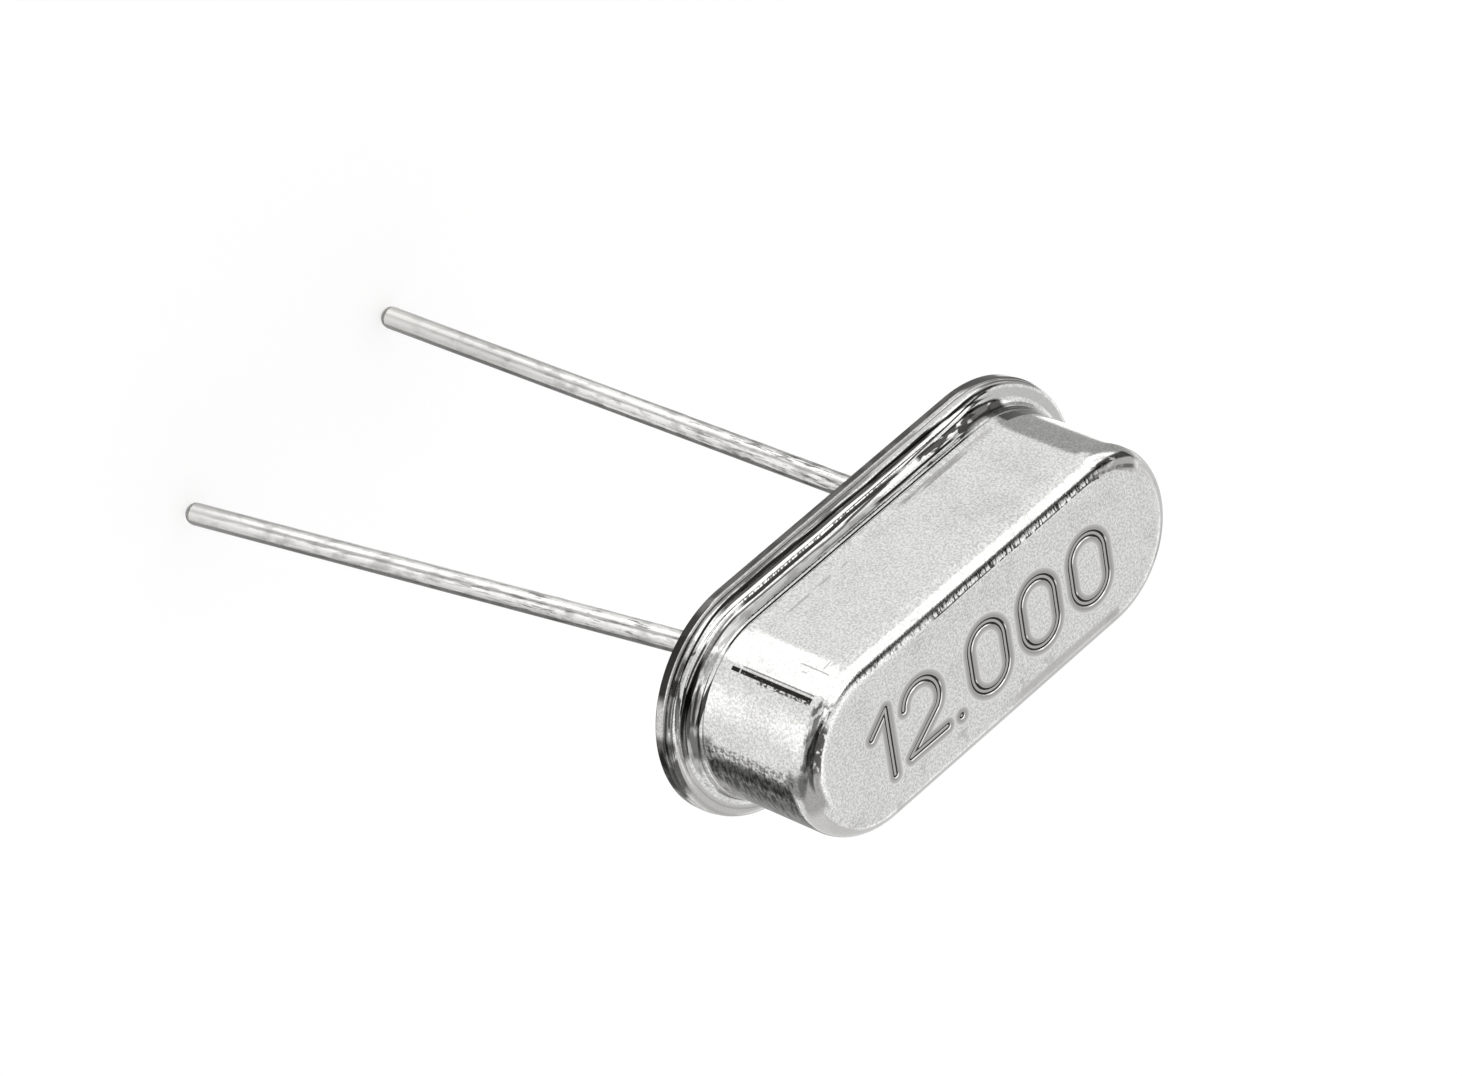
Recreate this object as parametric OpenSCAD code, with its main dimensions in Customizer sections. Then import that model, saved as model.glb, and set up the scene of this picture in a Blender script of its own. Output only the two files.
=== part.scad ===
// Quartz crystal unit in a low resistance-welded can: a deep-drawn lid on a stamped base, two wire leads
// through glass seals and, inside, a quartz strip bonded to two spring clips.
// Z = 0 is the seating plane on the underside of the base. The leads go down and the can's length lies
// along X.

/* [Can] */
// Distance between the centres of the can's two round ends
end_span = 6.20; // [5.60:0.05:6.80]
// Outer width of the can
can_w = 3.79; // [3.40:0.01:4.10]
// Height of the can's top face above the seating plane
can_top_z = 3.47; // [3.20:0.01:3.90]
// Thickness of the drawn sheet
can_wall = 0.25; // [0.18:0.01:0.30]
// Outer radius of the edge around the top face
can_edge_r = 0.41; // [0.30:0.01:0.60]

/* [Welded flanges] */
// Width across both flanges
flange_w = 4.82; // [4.60:0.01:5.00]
// Thickness of the can's flange
can_flange_t = 0.19; // [0.16:0.01:0.24]
// Thickness of the base's flange
base_flange_t = 0.24; // [0.18:0.01:0.30]
// Radius of the hollow between the can's flange and its wall
flange_fillet_r = 0.22; // [0.15:0.01:0.30]
// Height of the slight flare above that hollow
flare_h = 0.10; // [0.05:0.01:0.20]
// How far that flare stands out from the wall
flare_out = 0.02; // [0.01:0.01:0.04]

/* [Base] */
// How far the seat stands below the flange
seat_drop = 0.15; // [0.05:0.01:0.30]
// Width of the seat under the base
seat_w = 3.60; // [3.00:0.05:4.00]
// Width of the raised middle that fills the mouth of the can
plug_w = 3.20; // [2.60:0.05:3.25]
// Height of that raised middle above the seating plane
plug_top_z = 0.75; // [0.60:0.01:0.90]
// Diameter of the two holes for the glass seals
seal_d = 1.00; // [0.80:0.05:1.20]
// How far the glass lies back from each face of the base
seal_recess = 0.05; // [0.02:0.01:0.10]

/* [Leads] */
// Distance between the two leads where they leave the base
lead_pitch = 4.88; // [4.70:0.01:5.00]
// Diameter of the wire
lead_d = 0.46; // [0.40:0.01:0.50]
// Length of each lead below the seating plane, measured along the wire
lead_l = 15.35; // [5.00:0.05:20.00]
// Direction in which both wires lean, seen from above
lean_azimuth = 216; // [0:1:359]
// Bend of the left wire close to its seal, as the run aside for each unit of length
left_lean = 0.108; // [0.010:0.001:0.200]
// Bend of the right wire close to its seal, given in the same way
right_lean = 0.136; // [0.050:0.001:0.200]
// Return bend of the right wire a little further down, given in the same way
right_return = 0.119; // [0.010:0.001:0.200]

/* [Crystal] */
// Length of the quartz strip
quartz_l = 8.00; // [7.00:0.10:8.20]
// Width of the quartz strip
quartz_w = 2.00; // [1.50:0.05:2.20]
// Thickness of the quartz strip, which sets its frequency
quartz_t = 0.138; // [0.080:0.001:0.300]
// Thickness drawn for each metal film on the quartz
film_t = 0.02; // [0.01:0.01:0.03]
// Width of the strip that each spring clip is stamped from
clip_w = 1.10; // [0.80:0.05:1.50]

/* [Marking] */
// Height of the numerals from the middle of one stroke to the middle of another
digit_h = 1.42; // [1.00:0.01:1.60]
// Distance from one zero to the next
digit_step = 1.40; // [1.20:0.01:1.50]
// Lean of the numerals
digit_slant = 8; // [0:1:15]
// Width of the engraved stroke
stroke_w = 0.15; // [0.08:0.01:0.20]
// Depth of the engraved stroke
stroke_depth = 0.04; // [0.02:0.01:0.08]

/* [Hidden] */
$fn = 64;

can_r = can_w / 2;
flange_r = flange_w / 2;
seat_r = seat_w / 2;
plug_r = plug_w / 2;
// Level at which the two flanges are welded together, and the top of the can's flange
weld_z = seat_drop + base_flange_t;
can_flange_z = weld_z + can_flange_t;

// Seals and wires
seal_r = seal_d / 2;
lead_r = lead_d / 2;
lead_x = lead_pitch / 2;
meniscus_r = 0.10;
wire_root = 0.05;
wire_bend_r = 1.0;
kink_run = 1.15;
// Length of wire in a bend, and the straight length left over below the bends, to the nearest hundredth
function bend_l(lean) = wire_bend_r * asin(lean) * PI / 180;
function straight_run(used_l) = round(100 * (lead_l - wire_root - used_l)) / 100;
post_top_z = 1.15;
nail_head_r = 0.36;
nail_head_t = 0.12;

// Spring clips: foot on the nail head, riser, shelf under the end of the quartz, upturned lip
clip_t = 0.10;
clip_bend_r = 0.10;
foot_in = 0.40;
foot_out = 0.45;
shelf_z = 1.95;
lip_gap = 0.05;
lip_h = 0.30;

// Quartz and its films
quartz_z = shelf_z + 0.03 + film_t;
pad_l = 4.40;
pad_w = 1.60;
tongue_w = 0.70;
bond_r = 0.38;
bond_h = 0.12;
bond_round_r = 0.08;

// Marking: the middle of the first zero and the centres of the other strokes
first_zero = [-0.13, -0.18];
zero_w = 0.92;
groove_over = 0.1;

// A body with straight sides and round ends, swept from a section drawn at X >= 0
module round_ended() {
    for (side = [0, 180])
        rotate([0, 0, side])
            translate([end_span / 2, 0, 0])
                rotate([0, 0, -90])
                    rotate_extrude(angle = 180)
                        children();
    rotate([90, 0, 90])
        translate([0, 0, -end_span / 2])
            linear_extrude(end_span) {
                children();
                mirror([1, 0])
                    children();
            }
}

// Section of a flat plate whose rim is fully rounded
module plate_section(reach, z, t) {
    translate([0, z])
        square([reach - t / 2, t]);
    translate([reach - t / 2, z + t / 2])
        circle(t / 2);
}

// Section of a block with its upper or lower outer edge rounded
module rounded_block_section(reach, z0, z1, edge_r, round_top) {
    edge_z = round_top ? z1 - edge_r : z0 + edge_r;
    translate([0, round_top ? z0 : edge_z])
        square([reach, z1 - z0 - edge_r]);
    translate([0, z0])
        square([reach - edge_r, z1 - z0]);
    translate([reach - edge_r, edge_z])
        circle(edge_r);
}

// Section of the can seen as a solid: flange, hollow, slight flare, wall and rounded top edge
module can_outer_section() {
    fillet_top = can_flange_z + flange_fillet_r;
    foot_r = can_r + flare_out + flange_fillet_r;
    intersection() {
        union() {
            plate_section(flange_r, weld_z, can_flange_t);
            rounded_block_section(can_r, weld_z, can_top_z, can_edge_r, true);
            difference() {
                translate([0, weld_z])
                    square([foot_r, fillet_top - weld_z]);
                translate([foot_r, fillet_top])
                    circle(flange_fillet_r);
            }
            polygon([
                [0, fillet_top],
                [can_r + flare_out, fillet_top],
                [can_r, fillet_top + flare_h],
                [0, fillet_top + flare_h]
            ]);
        }
        translate([0, weld_z])
            square([flange_r, can_top_z]);
    }
}

// Section of the space inside the can, which opens out into a bell at the weld
module can_inner_section() {
    inner_r = can_r - can_wall;
    bell_r = flange_fillet_r + can_flange_t;
    rounded_block_section(inner_r, weld_z - groove_over, can_top_z - can_wall, can_edge_r - can_wall, true);
    difference() {
        translate([0, weld_z - groove_over])
            square([inner_r + bell_r, bell_r + groove_over]);
        translate([inner_r + bell_r, weld_z + bell_r])
            circle(bell_r);
        translate([inner_r + bell_r, weld_z - 2 * groove_over])
            square([bell_r, bell_r]);
    }
}

// A straight stroke with round ends
module stroke(from, to) {
    run = to - from;
    translate(from)
        rotate(atan2(run[1], run[0]))
            translate([0, -stroke_w / 2])
                square([norm(run), stroke_w]);
    for (end = [from, to])
        translate(end)
            circle(stroke_w / 2);
}

// A curved stroke about a centre, from one angle round to another
module curved_stroke(centre, r, from_angle, to_angle) {
    sweep = to_angle - from_angle;
    reach = 2 * r + stroke_w;
    translate(centre) {
        intersection() {
            difference() {
                circle(r + stroke_w / 2);
                circle(r - stroke_w / 2);
            }
            polygon([
                [0, 0],
                for (i = [0:3]) reach * [cos(from_angle + sweep * i / 3), sin(from_angle + sweep * i / 3)]
            ]);
        }
        for (angle = [from_angle, to_angle])
            rotate(angle)
                translate([r, 0])
                    circle(stroke_w / 2);
    }
}

// Numeral zero: two half rounds joined by straight sides
module numeral_zero() {
    r = zero_w / 2;
    half_side = digit_h / 2 - r;
    difference() {
        for (turn = [0, 180])
            rotate(turn) {
                translate([0, half_side])
                    circle(r + stroke_w / 2);
                translate([-r - stroke_w / 2, 0])
                    square([2 * r + stroke_w, half_side]);
            }
        for (turn = [0, 180])
            rotate(turn) {
                translate([0, half_side])
                    circle(r - stroke_w / 2);
                translate([-r + stroke_w / 2, 0])
                    square([2 * r - stroke_w, half_side]);
            }
    }
}

// Numeral one: an upright with a flag
module numeral_one() {
    top = [0, digit_h / 2];
    stroke(top, [0, -digit_h / 2]);
    stroke(top, top + [-0.44, -0.42]);
}

// Numeral two: an arc over the top, a slanting stroke and a foot
module numeral_two() {
    r = 0.46;
    arc_centre = [0.02, digit_h / 2 - r];
    heel = [-0.42, -digit_h / 2];
    turn_off = -38;
    curved_stroke(arc_centre, r, turn_off, 172);
    stroke(arc_centre + r * [cos(turn_off), sin(turn_off)], heel);
    stroke(heel, heel + [0.98, 0.13]);
}

// The plain figures on the top face
module marking_outline() {
    translate(first_zero)
        for (i = [0:2])
            translate([i * digit_step, 0])
                rotate(-digit_slant)
                    numeral_zero();
    translate([-2.82, -0.18])
        rotate(-digit_slant)
            numeral_one();
    translate([-1.95, -0.18])
        rotate(-digit_slant)
            numeral_two();
    translate([-1.10, -0.87])
        circle(stroke_w / 2 + 0.01);
}

// Deep-drawn lid with the figures engraved on its top face
module can() {
    color("silver")
        difference() {
            round_ended()
                can_outer_section();
            round_ended()
                can_inner_section();
            translate([0, 0, can_top_z - stroke_depth])
                linear_extrude(stroke_depth + groove_over)
                    marking_outline();
        }
}

// Stamped base: flange, seat below it, raised middle above it and two holes for the seals
module base() {
    color("gainsboro")
        difference() {
            round_ended() {
                plate_section(flange_r, seat_drop, base_flange_t);
                rounded_block_section(seat_r, 0, weld_z, seat_drop / 2, false);
                rounded_block_section(plug_r, seat_drop, plug_top_z, seat_drop, true);
            }
            for (side = [-1, 1])
                translate([side * lead_x, 0, -groove_over])
                    cylinder(h = plug_top_z + 2 * groove_over, r = seal_r);
        }
}

// Glass bead fused between the base and a wire, drawn up the wire at both faces
module seal(side) {
    bottom_z = seal_recess;
    top_z = plug_top_z - seal_recess;
    color("darkslategray")
        translate([side * lead_x, 0, 0])
            rotate_extrude()
                difference() {
                    union() {
                        translate([lead_r, bottom_z])
                            square([seal_r - lead_r, top_z - bottom_z]);
                        translate([lead_r, bottom_z - meniscus_r / 2])
                            square([meniscus_r, top_z - bottom_z + meniscus_r]);
                    }
                    for (z = [bottom_z - meniscus_r, top_z + meniscus_r])
                        translate([lead_r + meniscus_r, z])
                            circle(meniscus_r);
                }
}

// A bend towards +X in a wire that comes down along -Z, with what follows it placed at its end
module wire_bend(lean) {
    angle = asin(lean);
    translate([wire_bend_r, 0, 0])
        rotate([90, 0, 0])
            rotate([0, 0, 180])
                rotate_extrude(angle = angle)
                    translate([wire_bend_r, 0])
                        circle(lead_r);
    translate([wire_bend_r * (1 - cos(angle)), 0, -wire_bend_r * lean])
        rotate([0, -angle, 0])
            children();
}

// The last straight length of a wire, with its round tip at the bottom
module wire_end(run) {
    rotate_extrude()
        intersection() {
            union() {
                translate([0, -run + lead_r])
                    square([lead_r, run - lead_r]);
                translate([0, -run + lead_r])
                    circle(lead_r);
            }
            translate([0, -run])
                square([lead_r, run]);
        }
}

// The straight length of a wire through its seal, with the flattened head that carries the clip
module wire_post() {
    translate([0, 0, -wire_root])
        cylinder(h = wire_root + post_top_z, r = lead_r);
    translate([0, 0, post_top_z - nail_head_t])
        cylinder(h = nail_head_t, r = nail_head_r);
}

// Left wire: one slight bend just below its seal
module left_lead() {
    color("lightgray")
        translate([-lead_x, 0, 0]) {
            wire_post();
            rotate([0, 0, lean_azimuth])
                translate([0, 0, -wire_root])
                    wire_bend(left_lean)
                        wire_end(straight_run(bend_l(left_lean)));
        }
}

// Right wire: bent aside below its seal and back again, so that it hangs almost straight
module right_lead() {
    used_l = bend_l(right_lean) + kink_run + bend_l(right_return);
    color("lightgray")
        translate([lead_x, 0, 0]) {
            wire_post();
            rotate([0, 0, lean_azimuth])
                translate([0, 0, -wire_root])
                    wire_bend(right_lean) {
                        translate([0, 0, -kink_run])
                            cylinder(h = kink_run, r = lead_r);
                        translate([0, 0, -kink_run])
                            rotate([0, 0, 180])
                                wire_bend(right_return)
                                    wire_end(straight_run(used_l));
                    }
        }
}

// A quarter bend of the clip strip about a centre, starting at an angle
module clip_bend_section(centre, start) {
    outer_r = clip_bend_r + clip_t;
    translate(centre)
        rotate(start)
            intersection() {
                difference() {
                    circle(outer_r);
                    circle(clip_bend_r);
                }
                square(outer_r);
            }
}

// Side view of a clip, drawn for the right end of the quartz
module clip_section() {
    lip_x = quartz_l / 2 + lip_gap;
    foot_end = lead_x + foot_out;
    foot_z = post_top_z + clip_t;
    riser_x = foot_end + clip_bend_r;
    shelf_under_z = shelf_z - clip_t;
    shelf_x = riser_x + clip_t + clip_bend_r;
    translate([lead_x - foot_in, post_top_z])
        square([foot_in + foot_out, clip_t]);
    clip_bend_section([foot_end, foot_z + clip_bend_r], 270);
    translate([riser_x, foot_z + clip_bend_r])
        square([clip_t, shelf_under_z - foot_z - 2 * clip_bend_r]);
    clip_bend_section([shelf_x, shelf_under_z - clip_bend_r], 90);
    translate([shelf_x, shelf_under_z])
        square([lip_x - clip_bend_r - shelf_x, clip_t]);
    clip_bend_section([lip_x - clip_bend_r, shelf_z + clip_bend_r], 270);
    translate([lip_x, shelf_z + clip_bend_r])
        square([clip_t, lip_h]);
}

// Spring clip at one end of the quartz
module clip(side) {
    color("khaki")
        rotate([0, 0, side < 0 ? 180 : 0])
            translate([0, clip_w / 2, 0])
                rotate([90, 0, 0])
                    linear_extrude(clip_w)
                        clip_section();
}

// Rectangular quartz strip
module quartz_blank() {
    color("lightcyan")
        translate([-quartz_l / 2, -quartz_w / 2, quartz_z])
            cube([quartz_l, quartz_w, quartz_t]);
}

// Metal film: a pad in the middle and a tongue that runs to one end
module film(side, z) {
    color("lightsteelblue")
        translate([0, 0, z])
            linear_extrude(film_t) {
                square([pad_l, pad_w], center = true);
                translate([side < 0 ? -quartz_l / 2 : 0, -tongue_w / 2])
                    square([quartz_l / 2, tongue_w]);
            }
}

// Film on the upper face, led to the left clip
module upper_electrode() {
    film(-1, quartz_z + quartz_t);
}

// Film on the lower face, led to the right clip
module lower_electrode() {
    film(1, quartz_z - film_t);
}

// Spot of conductive adhesive that holds one end of the quartz on its clip
module bond(side) {
    bond_x = quartz_l / 2 + lip_gap - bond_r;
    top_z = quartz_z + quartz_t + bond_h;
    color("dimgray")
        difference() {
            translate([side * bond_x, 0, 0])
                rotate_extrude()
                    rounded_block_section(bond_r, shelf_z, top_z, bond_round_r, true);
            clip(side);
            quartz_blank();
            upper_electrode();
            lower_electrode();
        }
}

can();
base();
seal(-1);  // left_seal
seal(1);  // right_seal
left_lead();
right_lead();
clip(-1);  // left_clip
clip(1);  // right_clip
quartz_blank();
upper_electrode();
lower_electrode();
bond(-1);  // left_bond
bond(1);  // right_bond
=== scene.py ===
"""Looks of a two-lead quartz crystal unit: a drawn metal can welded to a stamped base, with tinned leads.

Z points up through the top of the can, its length lies along X and the leads go down. Sizes in the classes
are in millimetres, because the whole object is a few millimetres across, and mm() turns them to metres as
they reach Blender.
"""

from __future__ import annotations

import logging
import math
from collections.abc import Iterable, Mapping, Sequence
from dataclasses import dataclass

import bmesh
import bpy
from mathutils import Matrix, Vector

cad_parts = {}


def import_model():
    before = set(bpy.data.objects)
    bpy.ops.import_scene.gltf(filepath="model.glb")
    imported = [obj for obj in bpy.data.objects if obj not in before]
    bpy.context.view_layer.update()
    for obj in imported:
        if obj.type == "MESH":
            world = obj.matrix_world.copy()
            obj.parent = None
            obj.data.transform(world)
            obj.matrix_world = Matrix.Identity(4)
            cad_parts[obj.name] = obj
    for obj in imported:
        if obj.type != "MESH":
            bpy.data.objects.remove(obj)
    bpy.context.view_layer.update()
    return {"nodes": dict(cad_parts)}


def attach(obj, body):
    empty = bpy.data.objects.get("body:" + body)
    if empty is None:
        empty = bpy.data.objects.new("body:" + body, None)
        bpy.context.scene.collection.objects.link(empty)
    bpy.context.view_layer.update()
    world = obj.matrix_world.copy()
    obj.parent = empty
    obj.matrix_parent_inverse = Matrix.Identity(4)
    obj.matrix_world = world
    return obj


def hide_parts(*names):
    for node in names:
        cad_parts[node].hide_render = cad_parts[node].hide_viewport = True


LOG = logging.getLogger("crystal_unit")

Point = tuple[float, float]
Triple = tuple[float, float, float]
Tree = bpy.types.NodeTree
Source = bpy.types.Node | bpy.types.NodeSocket


def mm(length: float) -> float:
    """Length in metres of a length in millimetres."""
    return length * 0.001


def linear(hex_colour: str) -> tuple[float, float, float, float]:
    """Turns an sRGB colour to the linear one that shaders take.

    Args:
        hex_colour: Six hex digits, with or without a leading #.

    Returns:
        Red, green, blue and an alpha of 1.
    """
    digits = hex_colour.lstrip("#")
    channels = []
    for start in (0, 2, 4):
        value = int(digits[start : start + 2], 16) / 255
        channels.append(value / 12.92 if value <= 0.04045 else ((value + 0.055) / 1.055) ** 2.4)
    return (channels[0], channels[1], channels[2], 1.0)


# ---------------------------------------------------------------------------------------------------------
# Sections and sweeps
# ---------------------------------------------------------------------------------------------------------


def arc(start: Point, radius: float, first: float, last: float, steps: int) -> list[Point]:
    """Points along a round of a section that carries on from a point.

    Args:
        start: Where the round begins, as distance out and height.
        radius: Radius of the round.
        first: Direction of the outward normal at the start, in degrees above the horizontal.
        last: Direction of the outward normal at the end.
        steps: Number of chords.

    Returns:
        The points after the start.
    """
    turn = math.radians(first)
    hub = (start[0] - radius * math.cos(turn), start[1] - radius * math.sin(turn))
    points = []
    for step in range(1, steps + 1):
        angle = math.radians(first + (last - first) * step / steps)
        points.append((hub[0] + radius * math.cos(angle), hub[1] + radius * math.sin(angle)))
    return points


def hollow(start: Point, radius: float, first: float, last: float, steps: int) -> list[Point]:
    """The same along a hollow, whose normals point at its centre."""
    return arc(start, -radius, first, last, steps)


def straight(start: Point, end: Point, steps: int) -> list[Point]:
    """Points after the start on a straight stretch of a section, cut into equal steps."""
    across, rise = end[0] - start[0], end[1] - start[1]
    counts = range(1, steps + 1)
    return [(start[0] + across * step / steps, start[1] + rise * step / steps) for step in counts]


def select_only(piece: bpy.types.Object) -> None:
    """Makes a piece the only selected one and the active one."""
    bpy.ops.object.select_all(action="DESELECT")
    piece.select_set(True)
    bpy.context.view_layer.objects.active = piece


class Sweep:
    """A half section carried along a path in the XY plane by extrude and spin, in edit mode."""

    def __init__(self, name: str, start: Point, heading: float, section: Sequence[Point]) -> None:
        """Starts the mesh with the section standing to the right of the path's start.

        Args:
            name: Name of the object.
            start: Where the path begins.
            heading: Direction in which the path sets off, in degrees from +X.
            section: Distances from the path and heights.
        """
        self.place = Vector((start[0], start[1], 0.0))
        self.heading = heading
        if bpy.context.object is not None and bpy.context.object.mode != "OBJECT":
            bpy.ops.object.mode_set(mode="OBJECT")
        bpy.ops.object.select_all(action="DESELECT")
        bpy.ops.mesh.primitive_plane_add(size=mm(0.1), location=(0, 0, 0))
        self.piece = bpy.context.object
        self.piece.name = name
        self.piece.data.name = name
        bpy.ops.object.mode_set(mode="EDIT")
        bpy.ops.mesh.select_all(action="SELECT")
        bpy.ops.mesh.merge(type="CENTER")
        spots = [self._spot(point) for point in section]
        bpy.ops.transform.translate(value=spots[0])
        for before, after in zip(spots, spots[1:]):
            bpy.ops.mesh.extrude_region_move(TRANSFORM_OT_translate={"value": after - before})
        bpy.ops.mesh.select_all(action="SELECT")

    def _spot(self, point: Point) -> Vector:
        """Place in metres of a section point at the path's present end."""
        turn = math.radians(self.heading)
        right = Vector((math.sin(turn), -math.cos(turn), 0.0))
        return (self.place + right * point[0] + Vector((0.0, 0.0, point[1]))) * 0.001

    def run(self, length: float, steps: int) -> Sweep:
        """Carries the section straight on, in so many rows of faces, and returns the sweep."""
        turn = math.radians(self.heading)
        move = Vector((math.cos(turn), math.sin(turn), 0.0)) * length
        for _ in range(steps):
            bpy.ops.mesh.extrude_region_move(TRANSFORM_OT_translate={"value": move * 0.001 / steps})
        self.place += move
        return self

    def turn(self, angle: float, steps: int, hub_left: float = 0.0) -> Sweep:
        """Spins the section about an upright axis beside the path.

        Args:
            angle: Turn in degrees, anticlockwise from above.
            steps: Into how many rows of faces.
            hub_left: How far the axis stands to the left of the path.

        Returns:
            The sweep itself, so that moves can be chained.
        """
        side = math.radians(self.heading + 90)
        hub = self.place + Vector((math.cos(side), math.sin(side), 0.0)) * hub_left
        bpy.ops.mesh.spin(
            steps=steps, angle=math.radians(-angle), center=hub * 0.001, axis=(0, 0, 1), use_auto_merge=False
        )
        self.place = hub + Matrix.Rotation(math.radians(angle), 3, "Z") @ (self.place - hub)
        self.heading += angle
        return self

    def close(self, caps: Iterable[float] = ()) -> bpy.types.Object:
        """Welds the seams, closes flat openings and turns the faces outwards.

        Args:
            caps: Heights of open rims that are filled with one flat face each.

        Returns:
            The finished piece, in object mode.
        """
        bpy.ops.mesh.select_all(action="SELECT")
        bpy.ops.mesh.remove_doubles(threshold=mm(0.0005))
        for height in caps:
            bpy.ops.mesh.select_all(action="DESELECT")
            shape = bmesh.from_edit_mesh(self.piece.data)
            for edge in shape.edges:
                level = [abs(corner.co.z - mm(height)) < mm(0.002) for corner in edge.verts]
                edge.select_set(edge.is_boundary and all(level))
            bmesh.update_edit_mesh(self.piece.data)
            bpy.ops.mesh.edge_face_add()
        bpy.ops.mesh.select_all(action="SELECT")
        bpy.ops.mesh.normals_make_consistent(inside=False)
        bpy.ops.object.mode_set(mode="OBJECT")
        return self.piece


@dataclass
class RoundEnded:
    """A body with two straight sides and two round ends, swept from a half section."""

    half_span: float = 3.10

    def sweep(self, name: str, section: Sequence[Point], caps: Iterable[float]) -> bpy.types.Object:
        """Sweeps the body.

        Args:
            name: Name of the object.
            section: Distances from the middle line and heights.
            caps: Heights of the open rims to fill.

        Returns:
            The closed piece.
        """
        body = Sweep(name, (-self.half_span, 0.0), 0.0, section)
        for _ in range(2):
            body.run(2 * self.half_span, 62).turn(180, 72)
        return body.close(caps)

    def shift_rim(self, piece: bpy.types.Object, steps: Sequence[float], top: float, way: Point) -> None:
        """Shifts the rim sideways, as where the die that formed it sat off centre.

        Args:
            piece: The piece.
            steps: Distances from the middle line. Past each one the rim takes an equal share of the shift.
            top: Height below which the rim lies.
            way: The whole shift along X and Y.
        """
        bpy.ops.object.mode_set(mode="EDIT")
        bpy.ops.mesh.select_mode(type="VERT")
        for line in steps:
            bpy.ops.mesh.select_all(action="DESELECT")
            shape = bmesh.from_edit_mesh(piece.data)
            for corner in shape.verts:
                x, y, z = corner.co * 1000.0
                past = x - min(max(x, -self.half_span), self.half_span)
                corner.select_set(z < top and math.hypot(past, y) > line)
            bmesh.update_edit_mesh(piece.data)
            bpy.ops.transform.translate(value=Vector((way[0], way[1], 0.0)) * 0.001 / len(steps))
        bpy.ops.object.mode_set(mode="OBJECT")


def cut_away(piece: bpy.types.Object, tool: bpy.types.Object) -> None:
    """Takes a closed tool shape out of a piece with an applied Boolean modifier and removes the tool."""
    select_only(piece)
    cut = piece.modifiers.new("cut", "BOOLEAN")
    cut.operation = "DIFFERENCE"
    cut.solver = "EXACT"
    cut.object = tool
    bpy.ops.object.modifier_apply(modifier=cut.name)
    bpy.data.objects.remove(tool, do_unlink=True)


def smooth(piece: bpy.types.Object, angle: float = 40.0) -> None:
    """Shades a piece smooth but for edges sharper than an angle in degrees, and keeps flat faces flat."""
    select_only(piece)
    bpy.ops.object.shade_smooth_by_angle(angle=math.radians(angle))
    even = piece.modifiers.new("even", "WEIGHTED_NORMAL")
    even.keep_sharp = True
    bpy.ops.object.modifier_apply(modifier=even.name)


# ---------------------------------------------------------------------------------------------------------
# Finishes
# ---------------------------------------------------------------------------------------------------------


def add_node(
    tree: Tree, kind: str, inputs: Sequence[object] | Mapping[str | int, object] = (), **settings: object
) -> bpy.types.Node:
    """Adds a node, sets it up and links what feeds it.

    Args:
        tree: Node tree that gets the node.
        kind: Blender's type name of the node, after ShaderNode.
        inputs: What the input sockets take, in their order, or by name or number. A socket is linked, and
            of a node the first output in use is. A MapRange takes the value, the two ends of the range it
            comes in and the two ends of the range it goes to.
        settings: Properties of the node.

    Returns:
        The new node.
    """
    made = tree.nodes.new("ShaderNode" + kind)
    for name, value in settings.items():
        setattr(made, name, value)
    for name, value in inputs.items() if isinstance(inputs, Mapping) else enumerate(inputs):
        if isinstance(value, bpy.types.Node):
            value = next(output for output in value.outputs if output.enabled)
        if isinstance(value, bpy.types.NodeSocket):
            tree.links.new(value, made.inputs[name])
        else:
            made.inputs[name].default_value = value
    return made


def begin_material(name: str) -> tuple[bpy.types.Material, Tree]:
    """Makes an empty node material."""
    material = bpy.data.materials.new(name)
    material.use_nodes = True
    material.node_tree.nodes.clear()
    return material, material.node_tree


class Finish:
    """A finish of one real material, which says what feeds the sockets of its shader."""

    name: str

    def shading(self, tree: Tree) -> dict[str, object]:
        """Adds the finish's own nodes and gives a value or a source for each socket of the shader."""
        raise NotImplementedError

    def build(self) -> bpy.types.Material:
        """Builds the material."""
        material, tree = begin_material(self.name)
        shader = add_node(tree, "BsdfPrincipled", self.shading(tree))
        add_node(tree, "OutputMaterial", {"Surface": shader})
        return material


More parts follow.
